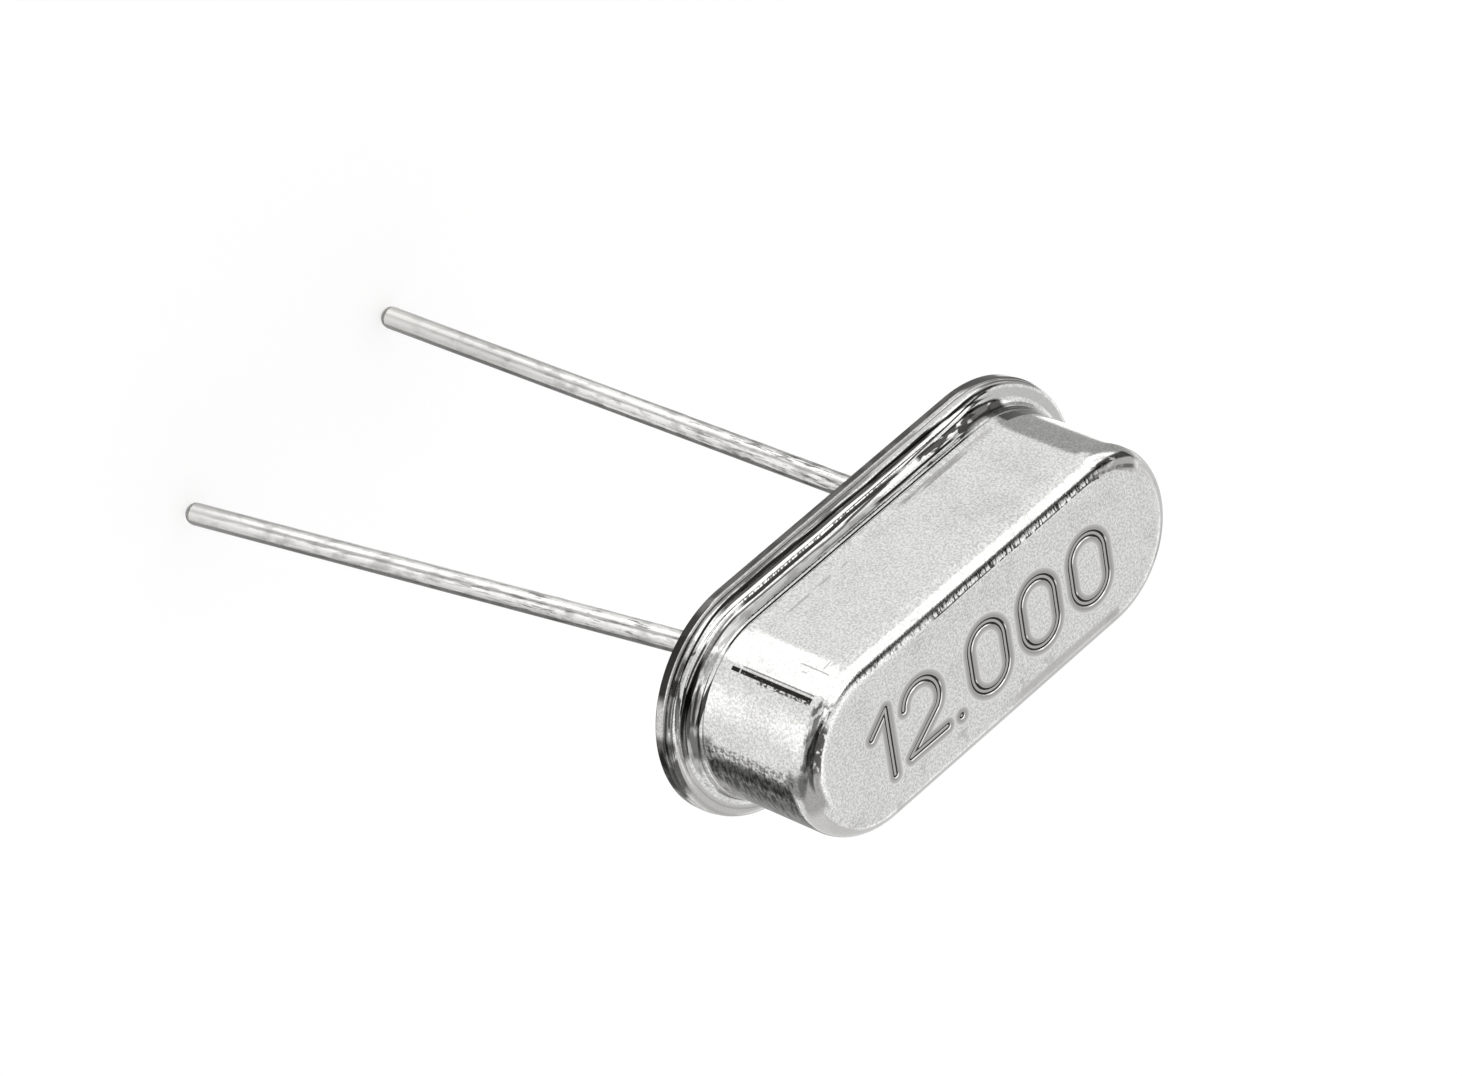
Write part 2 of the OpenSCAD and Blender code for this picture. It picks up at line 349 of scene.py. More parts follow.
@dataclass(frozen=True)
class Outline:
    """Where a point of the unit lies, read from Object coordinates and given in millimetres.

    Along is the way round the body, out the distance from its middle line, and up the height.
    """

    place: Source
    along: Source
    out: Source
    up: Source
    round_body: Source

    @classmethod
    def read(
        cls, tree: Tree, half_span: float = 3.10, wall_out: float = 1.895, lap: float = 12.0
    ) -> Outline:
        """Adds the nodes that work the place out.

        Args:
            tree: Node tree of the material.
            half_span: Half the distance between the centres of the body's ends.
            wall_out: Radius of the round ends.
            lap: How far the far side's places are moved on, so that they come after the near side's.

        Returns:
            The sources.
        """
        place = add_node(tree, "TexCoord").outputs["Object"]
        place = add_node(tree, "VectorMath", {0: place, "Scale": 1000.0}, operation="SCALE")
        x, y, up = add_node(tree, "SeparateXYZ", (place,)).outputs
        on_side = add_node(tree, "Clamp", (x, -half_span, half_span))
        past = add_node(tree, "Math", (x, on_side), operation="SUBTRACT")
        aside = add_node(tree, "CombineXYZ", (past, y))
        out = add_node(tree, "VectorMath", (aside,), operation="LENGTH")
        turn = add_node(tree, "Math", (past, y), operation="ARCTAN2")
        along = add_node(tree, "Math", (turn, wall_out, on_side), operation="MULTIPLY_ADD")
        far = add_node(tree, "Math", (turn, 3.14), operation="GREATER_THAN")
        along = add_node(tree, "Math", (far, lap, along), operation="MULTIPLY_ADD")
        return cls(place, along, out, up, add_node(tree, "CombineXYZ", (along, out, up)))

    def wandering(self, tree: Tree, length: float, reach: float) -> Outline:
        """The same place as seen by marks that wander in and out along the body.

        Args:
            tree: Node tree of the material.
            length: Length of a wave.
            reach: How far a mark strays from its middle.

        Returns:
            The shifted sources.
        """
        slow = add_node(tree, "VectorMath", (self.round_body, (1 / length, 0.6, 0.6)), operation="MULTIPLY")
        drift = add_node(tree, "TexNoise", {"Vector": slow, "Scale": 1.0, "Detail": 2.0, "Roughness": 0.4})
        out = add_node(tree, "Math", (drift, 4 * reach, self.out), operation="MULTIPLY_ADD")
        out = add_node(tree, "Math", (out, 2 * reach), operation="SUBTRACT")
        return Outline(self.place, self.along, out, self.up, self.round_body)


def between(tree: Tree, value: Source, low: float, high: float, edge: float) -> bpy.types.Node:
    """One where a value lies between two limits, fading to zero outside them.

    Args:
        tree: Node tree of the material.
        value: What is compared.
        low: Lower limit.
        high: Upper limit.
        edge: Width of the fade at each limit.

    Returns:
        The node whose output is between 0 and 1.
    """
    rising = add_node(tree, "MapRange", (value, low - edge, low), interpolation_type="SMOOTHSTEP")
    falling = add_node(
        tree, "MapRange", (value, high, high + edge, 1.0, 0.0), interpolation_type="SMOOTHSTEP"
    )
    return add_node(tree, "Math", (rising, falling), operation="MULTIPLY")


@dataclass(frozen=True)
class Mark:
    """A painted band of reflection or shade in the plate's colour, with its limits in millimetres.

    Out, up and along are the limits; edge is the fade past out and up, and end the fade past along. The
    slope carries the mark out and up by so much for each millimetre along. Where it has a pattern, the
    pattern is a noise that is this fine along, out and up, in features per millimetre, and the mark shows
    only where the noise lies above the cut.
    """

    colour: str
    strength: float
    along: Point
    out: Point | None = None
    up: Point | None = None
    edge: float = 0.02
    end: float = 0.3
    slope: float = 0.0
    pattern: Triple | None = None
    cut: Point = (0.45, 0.55)

    def lay(self, tree: Tree, where: Outline, under: Source) -> bpy.types.Node:
        """Lays the mark over the colour beneath it.

        Args:
            tree: Node tree of the material.
            where: Place on the unit.
            under: Colour beneath.

        Returns:
            The colour with the mark.
        """
        amount = between(tree, where.along, *self.along, self.end)
        for value, span in ((where.out, self.out), (where.up, self.up)):
            if span is None:
                continue
            low, high = span
            if self.slope:
                value = add_node(tree, "Math", (where.along, -self.slope, value), operation="MULTIPLY_ADD")
                low, high = low - self.slope * self.along[0], high - self.slope * self.along[0]
            mask = between(tree, value, low, high, self.edge)
            amount = add_node(tree, "Math", (amount, mask), operation="MULTIPLY")
        if self.pattern is not None:
            fine = add_node(tree, "VectorMath", (where.round_body, self.pattern), operation="MULTIPLY")
            speckle = {"Vector": fine, "Scale": 1.0, "Detail": 2.0, "Roughness": 0.5}
            noise = add_node(tree, "TexNoise", speckle)
            shown = add_node(tree, "MapRange", (noise, *self.cut), interpolation_type="SMOOTHSTEP")
            amount = add_node(tree, "Math", (amount, shown), operation="MULTIPLY")
        amount = add_node(tree, "Math", (amount, self.strength), operation="MULTIPLY")
        return add_node(tree, "Mix", {0: amount, 6: under, 7: linear(self.colour)}, data_type="RGBA")


# Painted reflections and shade on the top edge and the wall's ends: dark and grey bands and lines.
TOP_EDGE_PAINTED_LIGHT = (
    Mark("#3D3C3B", 0.95, (-1.0, 3.5), (1.44, 1.57), (3.4, 3.6), 0.02, 0.3, 0.0, (27, 6, 1), (0.50, 0.56)),
    Mark("#575655", 0.8, (-3.2, -1.0), (1.46, 1.57), (3.4, 3.6), 0.02, 0.3, 0.0, (18, 6, 1), (0.56, 0.62)),
    Mark("#373635", 0.9, (-1.0, 3.6), (1.43, 1.45), (3.4, 3.6), 0.012, 0.2, 0.0, (9, 1, 1), (0.36, 0.46)),
    Mark("#474645", 0.8, (-5.6, -4.1), (1.56, 1.80), (3.2, 3.46), 0.03, 0.3, 0.0, (5, 12, 9), (0.45, 0.58)),
    Mark("#454443", 0.95, (-5.5, -4.6), (1.47, 1.66), (3.2, 3.47), 0.03, 0.3, 0.0, (6, 9, 1), (0.36, 0.50)),
    Mark("#5A5958", 0.80, (-5.3, -4.7), (1.68, 1.78), (3.31, 3.43), 0.02, 0.15),
    Mark("#9F9E9D", 0.85, (3.7, 4.7), (1.50, 1.74), (3.2, 3.6), 0.03, 0.2, 0.0, (2, 7, 1), (0.30, 0.50)),
    Mark("#2E2D2C", 0.95, (3.6, 4.8), (1.620, 1.68), (3.2, 3.6), 0.03, 0.35, 0.13, (8, 14, 1), (0.30, 0.45)),
    Mark("#B2B1B0", 0.8, (5.2, 40.0), (1.62, 2.6), edge=0.05),
    Mark("#BDBCBB", 0.8, (-9.2, -6.6), (1.66, 2.6), edge=0.05, end=0.5),
    Mark("#8B8A89", 0.72, (-6.35, -5.7), (1.50, 1.90), (3.28, 3.47), 0.06, 0.35),
    Mark("#B4B3B2", 0.8, (18.4, 21.2), (1.42, 2.6), edge=0.10, end=0.6),
    Mark("#A09F9E", 0.5, (5.2, 40.0), (1.2, 1.8), (3.4, 3.6), 0.1, 0.3, 0.0, (2.4, 2.4, 1), (0.56, 0.70)),
    Mark("#6A6968", 0.8, (4.8, 7.4), (1.850, 2.6), edge=0.015, slope=-0.085),
    Mark("#555453", 0.85, (3.3, 4.7), (1.45, 1.49), (3.2, 3.6), 0.03, 0.2, 0.09, (5, 6, 1), (0.30, 0.55)),
)
# Painted reflections and shade on the wall: dark and grey bands and thin lines.
WALL_PAINTED_LIGHT = (
    Mark("#2B2A29", 1.0, (-4.135, -4.065), up=(1.41, 3.31), end=0.015, pattern=(30, 1, 9), cut=(0.2, 0.4)),
    Mark(
        "#2B2A29", 0.9, (-4.19, -4.10), up=(1.9, 3.33), edge=0.05, end=0.03,
        pattern=(24, 1, 14), cut=(0.46, 0.54),
    ),
    Mark("#2B2A29", 1.0, (-4.135, -4.065), up=(1.18, 1.36), edge=0.02, end=0.015),
    Mark("#6B6A69", 0.9, (-4.008, -3.992), up=(1.45, 3.31), edge=0.1, end=0.012),
    Mark("#8B8A89", 0.8, (-3.53, -3.51), up=(2.55, 3.36), edge=0.1, end=0.015),
    Mark("#8B8A89", 0.8, (-3.45, -3.28), up=(3.01, 3.03), edge=0.015, end=0.05),
    Mark("#8B8A89", 0.7, (-3.67, -3.65), up=(2.66, 2.76), edge=0.03, end=0.015),
    Mark("#7E7D7C", 0.9, (-5.80, -5.62), up=(0.95, 3.14), end=0.08, pattern=(16, 1, 13), cut=(0.46, 0.58)),
    Mark("#666564", 0.85, (-7.4, -6.15), up=(0.95, 3.14), pattern=(4, 1, 17), cut=(0.47, 0.60)),
    Mark("#454443", 0.7, (-6.25, -5.8), up=(0.95, 3.14), pattern=(7, 1, 13), cut=(0.48, 0.60)),
    Mark("#585756", 0.9, (3.62, 4.6), up=(0.86, 1.15), edge=0.03, end=0.08),
    Mark(
        "#868584", 0.7, (0.9, 2.2), up=(1.05, 1.17), edge=0.03, end=0.4,
        pattern=(1.2, 1, 9), cut=(0.34, 0.56),
    ),
    Mark("#A8A7A6", 0.5, (2.3, 3.0), up=(1.05, 1.15), edge=0.03, pattern=(1.5, 1, 12), cut=(0.30, 0.52)),
    Mark("#A0A09F", 0.7, (-2.9, -1.1), up=(1.28, 1.33), edge=0.02, pattern=(2, 1, 20), cut=(0.40, 0.55)),
)
# Painted reflections, highlights and shade on the flange: dark and white bands, black lines in its creases.
FLANGE_PAINTED_LIGHT = (
    Mark("#B9B8B7", 0.85, (-8.6, -6.2), (2.12, 2.36), (0.5, 0.62), edge=0.04, end=0.6),
    Mark("#8A8988", 0.4, (-8.6, -6.2), (2.16, 2.18), (0.5, 0.62), 0.02, 0.4),
    Mark("#8A8988", 0.3, (-8.6, -6.6), (2.30, 2.34), (0.5, 0.62), 0.02, 0.4),
    Mark("#6A6968", 0.85, (-8.2, -7.1), (1.955, 1.990), (0.6, 0.72), edge=0.015),
    Mark("#BABAB9", 0.80, (3.7, 6.2), (2.10, 2.25), (0.5, 0.62), edge=0.03),
    Mark("#3A3938", 0.85, (3.5, 4.5), up=(0.74, 0.86), edge=0.02, end=0.15),
    Mark("#FFFFFF", 1.0, (-5.3, 3.1), (2.155, 2.285), (0.5, 0.62), edge=0.015),
    Mark("#B2B2B1", 1.0, (-6.3, -4.85), (1.90, 2.04), (0.62, 0.78), edge=0.015, end=0.15),
    Mark("#B2B2B1", 1.0, (-3.5, 0.2), (1.90, 2.04), (0.62, 0.78), edge=0.015, end=0.5),
    Mark("#3A3938", 0.85, (-5.35, -4.80), (1.935, 1.99), (0.62, 0.74), edge=0.012, end=0.12),
    Mark("#4E4D4C", 0.95, (3.2, 3.6), (1.94, 2.07), (0.59, 0.72), edge=0.02, end=0.12),
    Mark("#8B8A89", 0.9, (3.7, 4.7), (2.325, 2.60), (0.38, 0.57), edge=0.015),
    Mark("#8E8D8C", 0.7, (-6.6, 0.6), (1.90, 2.04), (0.62, 0.78), 0.015, 0.5, 0.0, (3, 9, 9), (0.48, 0.60)),
    Mark("#232221", 1.0, (-3.7, 2.7), up=(0.853, 0.893), edge=0.008, end=0.4),
    Mark("#7A7978", 0.8, (-3.8, 0.8), up=(0.782, 0.798), edge=0.010, end=0.4),
    Mark("#5B5A59", 0.9, (-1.0, 1.2), up=(0.722, 0.735), edge=0.010, end=0.4),
    Mark("#232221", 1.0, (0.6, 2.5), up=(0.685, 0.715), edge=0.012, end=0.3),
    Mark(
        "#2A2928", 0.95, (1.8, 3.9), (1.93, 2.10), (0.585, 0.82), 0.02, 0.15, 0.0,
        (2.2, 8, 8), (0.45, 0.52),
    ),
    Mark("#454443", 0.9, (-3.8, -0.4), (2.012, 2.030), (0.55, 0.66), 0.010, 0.3),
    Mark("#343332", 0.95, (-0.2, 1.1), (2.025, 2.055), (0.55, 0.66), 0.010, 0.2, 0.050),
    Mark("#262524", 0.97, (-2.9, 1.15), (2.065, 2.128), (0.55, 0.62), 0.012, 0.3, 0.010),
    Mark(
        "#4F4E4D", 0.9, (-2.9, 1.2), (2.13, 2.165), (0.55, 0.62), 0.015, 0.2, 0.010,
        (24, 4, 1), (0.45, 0.55),
    ),
    Mark("#211F1E", 1.0, (-5.2, -4.3), (2.045, 2.140), (0.55, 0.66), 0.02, 0.3, -0.045),
    Mark("#211F1E", 0.75, (-4.3, -3.3), (2.015, 2.090), (0.55, 0.66), 0.02, 0.15, 0.012),
    Mark("#E8E8E7", 0.9, (-3.45, -2.9), (2.052, 2.062), (0.55, 0.66), 0.010, 0.2),
    Mark("#4A4948", 0.85, (-5.9, -5.2), (2.06, 2.17), (0.55, 0.66), 0.02, 0.2),
    Mark("#262524", 0.95, (-5.1, -4.0), (2.165, 2.205), (0.5, 0.62), 0.012, 0.15, -0.030),
    Mark("#242322", 0.95, (-5.3, -4.45), up=(0.735, 0.820), edge=0.015, end=0.2, slope=0.17),
    Mark("#2A2928", 0.9, (-5.2, -4.7), up=(0.67, 0.695), edge=0.010, end=0.2),
    Mark("#2D2C2B", 0.95, (1.5, 3.3), (2.122, 2.150), (0.5, 0.62), 0.012, 0.3, 0.045),
    Mark("#2A2928", 0.97, (3.1, 4.3), (2.195, 2.225), (0.5, 0.62), 0.012, 0.1, 0.135),
    Mark(
        "#454443", 0.95, (-3.3, 2.1), (2.280, 2.385), (0.5, 0.62), 0.015, 0.3, 0.0,
        (0.9, 3, 1), (0.25, 0.44),
    ),
    Mark(
        "#242322", 0.9, (-3.3, 2.4), (2.285, 2.375), (0.5, 0.62), 0.012, 0.3, 0.0,
        (1.2, 16, 1), (0.50, 0.57),
    ),
    Mark("#1F1E1D", 1.0, (-4.4, 2.1), (2.355, 2.388), (0.5, 0.62), 0.012, 0.3),
    Mark("#1F1E1D", 0.9, (-5.3, -4.4), (2.398, 2.44), (0.49, 0.56), 0.010, 0.2),
    Mark("#656463", 0.85, (2.8, 4.0), (2.29, 2.325), (0.5, 0.62), 0.015, 0.2, 0.05),
    Mark("#929190", 0.95, (-5.6, 0.9), (2.30, 2.60), (0.40, 0.485), 0.015, 0.5),
    Mark(
        "#565554", 0.8, (-3.4, 1.0), (2.30, 2.60), (0.42, 0.50), 0.015, 0.3, 0.012,
        (1.4, 1, 26), (0.50, 0.60),
    ),
    Mark("#CBCBCA", 0.9, (0.9, 3.6), (2.30, 2.60), (0.40, 0.50), 0.015, 0.3),
    Mark(
        "#262524", 0.95, (-4.85, -4.66), (2.30, 2.60), (0.47, 0.54), 0.02, 0.06, 0.0,
        (3, 1, 9), (0.3, 0.45),
    ),
    Mark("#464544", 0.9, (-6.5, -5.68), (2.33, 2.60), (0.38, 0.565), 0.02, 0.2, 0.0, (3, 1, 6), (0.25, 0.50)),
)
# Painted reflections and shade on the base's rim: dark and grey bands.
BASE_PAINTED_LIGHT = (
    Mark("#211F1E", 0.97, (-4.9, -3.5), (2.2, 2.6), (0.145, 0.325), 0.015, 0.25),
    Mark("#3E3D3C", 0.9, (-6.7, -5.65), (2.2, 2.6), (0.145, 0.39), 0.02, 0.15, 0.0, (3, 1, 6), (0.25, 0.50)),
    Mark("#5A5958", 0.95, (-3.5, 4.2), (2.2, 2.6), (0.145, 0.300), 0.015, 0.2),
    Mark("#3F3E3D", 0.7, (-3.5, 3.2), (2.2, 2.6), (0.145, 0.300), 0.015, 0.2, 0.0, (3, 1, 12), (0.48, 0.60)),
    Mark("#7A7978", 0.8, (-5.6, 1.9), (2.2, 2.6), (0.360, 0.40), 0.010, 0.3),
    Mark("#656463", 0.9, (3.5, 4.8), (2.2, 2.6), (0.20, 0.40), 0.02, 0.3),
)


@dataclass(frozen=True)
class NickelPlate(Finish):
    """Nickel plate on deep-drawn steel.

    The plate keeps the sheet's satin grain on the flat faces, is burnished where the die stretched the
    sheet over the flange and the fillet, and is streaked across the top edge, where the sheet was drawn
    over the punch.
    """

    name: str = "satin nickel plate on drawn steel"
    colour: str = "#EAEAE8"
    tarnish: str = "#8E8C89"
    roughness: Point = (0.08, 0.13)
    burnished: float = 0.06
    burnished_below: float = 0.84
    grain_size: float = 0.045
    grain_depth: float = 0.0006
    clouds: float = 1.3
    wave_length: float = 0.80
    wave_height: float = 0.012
    streak_gap: float = 0.05
    streak_depth: float = 0.0015
    streaked_edge: bool = True
    # Painted reflections and shade laid into the colour
    marks: tuple[Mark, ...] = TOP_EDGE_PAINTED_LIGHT

    def shading(self, tree: Tree) -> dict[str, object]:
        """Feeds the shader with worn roughness, marked colour and the relief of the sheet."""
        where = Outline.read(tree)
        fine = {"Vector": where.place, "Scale": 1 / self.grain_size, "Detail": 2.0, "Roughness": 0.6}
        grain = add_node(tree, "TexNoise", fine)
        broad = {"Vector": where.place, "Scale": self.clouds, "Detail": 5.0, "Roughness": 0.6}
        cloud = add_node(tree, "TexNoise", broad)
        flange = between(tree, where.up, -1.0, self.burnished_below, 0.12)
        worn = add_node(tree, "MapRange", (cloud, 0.3, 0.7, *self.roughness))
        return {
            "Base Color": self._colour(tree, where, grain, cloud),
            "Metallic": 1.0,
            "Roughness": add_node(tree, "Mix", {0: flange, 2: worn, 3: self.burnished}),
            "Normal": self._relief(tree, where, grain, flange),
        }

    def _colour(self, tree: Tree, where: Outline, grain: Source, cloud: Source) -> Source:
        """Puts grain and thin tarnish clouds in the colour, with painted reflections and shade over them."""
        speck = add_node(tree, "MapRange", (grain, 0.38, 0.62, 0.0, 0.50))
        film = add_node(tree, "MapRange", (cloud, 0.5, 0.8, 0.0, 0.22))
        both = add_node(tree, "Math", (speck, film), operation="ADD")
        tones = {0: both, 6: linear(self.colour), 7: linear(self.tarnish)}
        colour = add_node(tree, "Mix", tones, data_type="RGBA")
        straying = where.wandering(tree, 2.2, 0.03)
        for mark in self.marks:
            colour = mark.lay(tree, straying, colour)
        return colour

    def _relief(self, tree: Tree, where: Outline, grain: Source, flange: Source) -> Source:
        """Adds the ripples of the flange, the satin grain and the streaks across the top edge."""
        long_waves = {"Vector": where.place, "Scale": 1 / self.wave_length, "Detail": 2.0, "Roughness": 0.5}
        ripples = add_node(tree, "TexNoise", long_waves)
        ripples = add_node(tree, "Math", (ripples, flange), operation="MULTIPLY")
        waves = {"Strength": 1.0, "Distance": mm(self.wave_height), "Height": ripples}
        normal = add_node(tree, "Bump", waves)
        layers = [(grain, self.grain_depth)]
        if self.streaked_edge:
            fineness = (1 / self.streak_gap, 7.0, 7.0)
            stretched = add_node(tree, "VectorMath", (where.round_body, fineness), operation="MULTIPLY")
            drawn = {"Vector": stretched, "Scale": 1.0, "Detail": 3.0, "Roughness": 0.65}
            streaks = add_node(tree, "TexNoise", drawn)
            band = between(tree, where.out, 1.40, 1.60, 0.06)
            top = between(tree, where.up, 3.2, 4.0, 0.05)
            band = add_node(tree, "Math", (band, top), operation="MULTIPLY")
            streaks = add_node(tree, "Math", (streaks, band), operation="MULTIPLY")
            layers.append((streaks, self.streak_depth))
        for height, depth in layers:
            relief = {"Strength": 1.0, "Distance": mm(depth), "Height": height, "Normal": normal}
            normal = add_node(tree, "Bump", relief)
        return normal


@dataclass(frozen=True)
class EngravedNickel(Finish):
    """Nickel plate cut by the engraving point.

    The floor is grey, its corners and the walls that face -Y carry painted shade, the other walls a painted
    highlight, a line of painted shade runs along the lip, and a faint stain lies round the groove.
    """

    name: str = "engraved nickel plate"
    plate: str = "#DADAD8"
    stain: str = "#BEBDBC"
    # rim, bright and dark: painted shade along the lip, painted highlight on the walls, painted shade below
    rim: str = "#9C9B9A"
    bright: str = "#ECECEA"
    dark: str = "#2A2928"
    floor: str = "#ABAAA8"
    surface: float = 3.47
    depth: float = 0.022

    def shading(self, tree: Tree) -> dict[str, object]:
        """Feeds the shader with a colour that goes with the depth and with the way the wall faces."""
        coordinates = add_node(tree, "TexCoord").outputs
        up = add_node(tree, "SeparateXYZ", (coordinates["Object"],)).outputs["Z"]
        deep = add_node(tree, "MapRange", (up, mm(self.surface), mm(self.surface - self.depth)))
        tones = add_node(tree, "ValToRGB", (deep,))
        ends = tones.color_ramp.elements
        ends[0].color = linear(self.plate)
        ends[1].color = linear(self.floor)
        # By depth: the stain, painted shade along the lip, painted highlight on the walls, painted shade in
        # the corners
        stops = (
            (0.006, self.plate),
            (0.016, self.stain),
            (0.045, self.rim),
            (0.10, self.bright),
            (0.70, self.bright),
            (0.78, self.dark),
            (0.975, self.dark),
            (0.995, self.floor),
        )
        for position, colour in stops:
            ends.new(position).color = linear(colour)
        # Walls that face -Y get painted shade
        facing = add_node(tree, "SeparateXYZ", (coordinates["Normal"],)).outputs["Y"]
        painted_shade_wall = add_node(tree, "MapRange", (facing, -0.08, -0.25), interpolation_type="SMOOTHSTEP")
        fine = {"Vector": coordinates["Object"], "Scale": 22000.0, "Detail": 2.0}
        chatter = add_node(tree, "TexNoise", fine)
        layers = {0: painted_shade_wall, 6: tones, 7: linear(self.dark)}
        return {
            "Base Color": add_node(tree, "Mix", layers, data_type="RGBA"),
            "Metallic": 1.0,
            "Roughness": 0.18,
            "Normal": add_node(tree, "Bump", {"Strength": 1.0, "Distance": mm(0.001), "Height": chatter}),
        }


@dataclass(frozen=True)
class PaintedWireBand:
    """A painted reflection or shade band along the wire, placed by the way its surface faces, in degrees."""

    centre: float
    half: float
    fade: float
    strength: float


@dataclass(frozen=True)
class TinnedWire(Finish):
    """Tin plate on drawn steel wire: painted reflection and shade bands, flecks near the body, duller tips.

    Metallic and roughness each have a value for the wire, for its duller stretch near the tip and for its
    round end.
    """

    name: str = "tin plate on steel wire"
    colour: str = "#F4F3F1"
    fleck: str = "#555452"
    # Grey of the painted reflection bands, also used for the blotches
    streak: str = "#7A7977"
    dull: str = "#D8D7D4"
    worn: str = "#B4B3B0"
    metallic: Triple = (0.86, 0.70, 0.25)
    roughness: Triple = (0.15, 0.28, 0.5)
    # Painted reflections and shade along the wire, each placed by the way the surface faces
    streaks: tuple[PaintedWireBand, ...] = (
        PaintedWireBand(12.0, 4.0, 11.0, 0.60),
        PaintedWireBand(-22.0, 12.0, 12.0, 0.28),
        PaintedWireBand(-80.0, 24.0, 11.0, 0.62),
        PaintedWireBand(76.0, 15.0, 10.0, 0.42),
    )
    root_x: float = 2.44
    # Stretches of the left wire and of the right one above and below its bend: the heights of their two
    # ends, and how far the second lies aside of the first
    left_run: Triple = (-0.1, -15.3, 1.651)
    right_runs: tuple[Triple, Triple] = ((-0.1, -1.3, 0.1645), (-1.3, -15.3, 0.2394))
    lean: Triple = (-0.809, -0.588, 0.0)
    # The side that the streaks' directions are counted from, and the side at a right angle to it
    front: Triple = (-0.689, 0.725, 0.0)
    flank: Triple = (0.725, 0.689, 0.0)
    # How far the right wire's pattern is moved, so that the two wires don't carry the same marks
    apart: float = 50.0
    # Heights between which the right wire, moved so, wears grey, the flecks thin out and the tips dull
    worn_from: Point = (-58.5, -62.5)
    flecks_thin_from: Point = (-5.0, -9.0)
    dull_from: Point = (-12.0, -16.0)

    def shading(self, tree: Tree) -> dict[str, object]:
        """Feeds the shader with streaked, flecked colour and with the plate's wear towards the tips."""
        coordinates = add_node(tree, "TexCoord").outputs
        place = add_node(tree, "VectorMath", {0: coordinates["Object"], "Scale": 1000.0}, operation="SCALE")
        up = add_node(tree, "SeparateXYZ", (place,)).outputs["Z"]
        local = self._from_centre(tree, place)
        drawn = add_node(tree, "VectorMath", (local, (20.0, 20.0, 2.0)), operation="MULTIPLY")
        marks = add_node(tree, "TexNoise", {"Vector": drawn, "Scale": 1.0, "Detail": 4.0, "Roughness": 0.6})
        spread = add_node(tree, "VectorMath", (local, (5.0, 5.0, 2.2)), operation="MULTIPLY")
        blotch = add_node(tree, "TexNoise", {"Vector": spread, "Scale": 1.0, "Detail": 2.0})
        height = add_node(tree, "SeparateXYZ", (local,)).outputs["Z"]
        facing = add_node(tree, "SeparateXYZ", (coordinates["Normal"],)).outputs["Z"]
        tip = add_node(tree, "MapRange", (up, *self.dull_from), interpolation_type="SMOOTHSTEP")
        end = add_node(tree, "MapRange", (facing, -0.15, -0.70), interpolation_type="SMOOTHSTEP")
        most = add_node(tree, "MapRange", (up, *self.flecks_thin_from, 0.85, 0.3))
        worn = (height, *self.worn_from, 0.0, 0.7)
        layers = (
            (add_node(tree, "MapRange", (marks, 0.53, 0.64, 0.0, most)), self.fleck),
            (add_node(tree, "MapRange", worn, interpolation_type="SMOOTHSTEP"), self.worn),
            (add_node(tree, "MapRange", (blotch, 0.50, 0.66, 0.0, 0.45)), self.streak),
            (tip, self.dull),
        )
        colour = self._painted_bands(tree, local, marks)
        for amount, tone in layers:
            colour = add_node(tree, "Mix", {0: amount, 6: colour, 7: linear(tone)}, data_type="RGBA")
        sockets: dict[str, object] = {"Base Color": colour}
        for socket, values in (("Metallic", self.metallic), ("Roughness", self.roughness)):
            duller = add_node(tree, "Mix", {0: tip, 2: values[0], 3: values[1]})
            sockets[socket] = add_node(tree, "Mix", {0: end, 2: duller, 3: values[2]})
        relief = {"Strength": 1.0, "Distance": mm(0.002), "Height": marks}
        sockets["Normal"] = add_node(tree, "Bump", relief)
        return sockets

    def _from_centre(self, tree: Tree, place: Source) -> Source:
        """Measures a place from the centre line of the wire it is on.

        Args:
            tree: The node tree to add to.
            place: Object coordinates in mm.

        Returns:
            The place less the centre line's at the same height, with the right wire's moved well away.
        """
        axes = add_node(tree, "SeparateXYZ", (place,)).outputs
        right = add_node(tree, "Math", (axes["X"], 0.0), operation="GREATER_THAN")
        runs = []
        for high, low, aside in (self.left_run, *self.right_runs):
            runs.append(add_node(tree, "MapRange", (axes["Z"], high, low, 0.0, aside)))
        kinked = add_node(tree, "Math", (runs[1], runs[2]), operation="ADD")
        aside = add_node(tree, "Mix", {0: right, 2: runs[0], 3: kinked})
        middle = add_node(tree, "MapRange", (right, 0.0, 1.0, -self.root_x, self.root_x))
        lean = add_node(tree, "VectorMath", {0: self.lean, "Scale": aside}, operation="SCALE")
        apart = add_node(tree, "Math", (right, self.apart), operation="MULTIPLY")
        root = add_node(tree, "CombineXYZ", (middle, 0.0, apart))
        centre = add_node(tree, "VectorMath", (root, lean), operation="ADD")
        return add_node(tree, "VectorMath", (place, centre), operation="SUBTRACT")

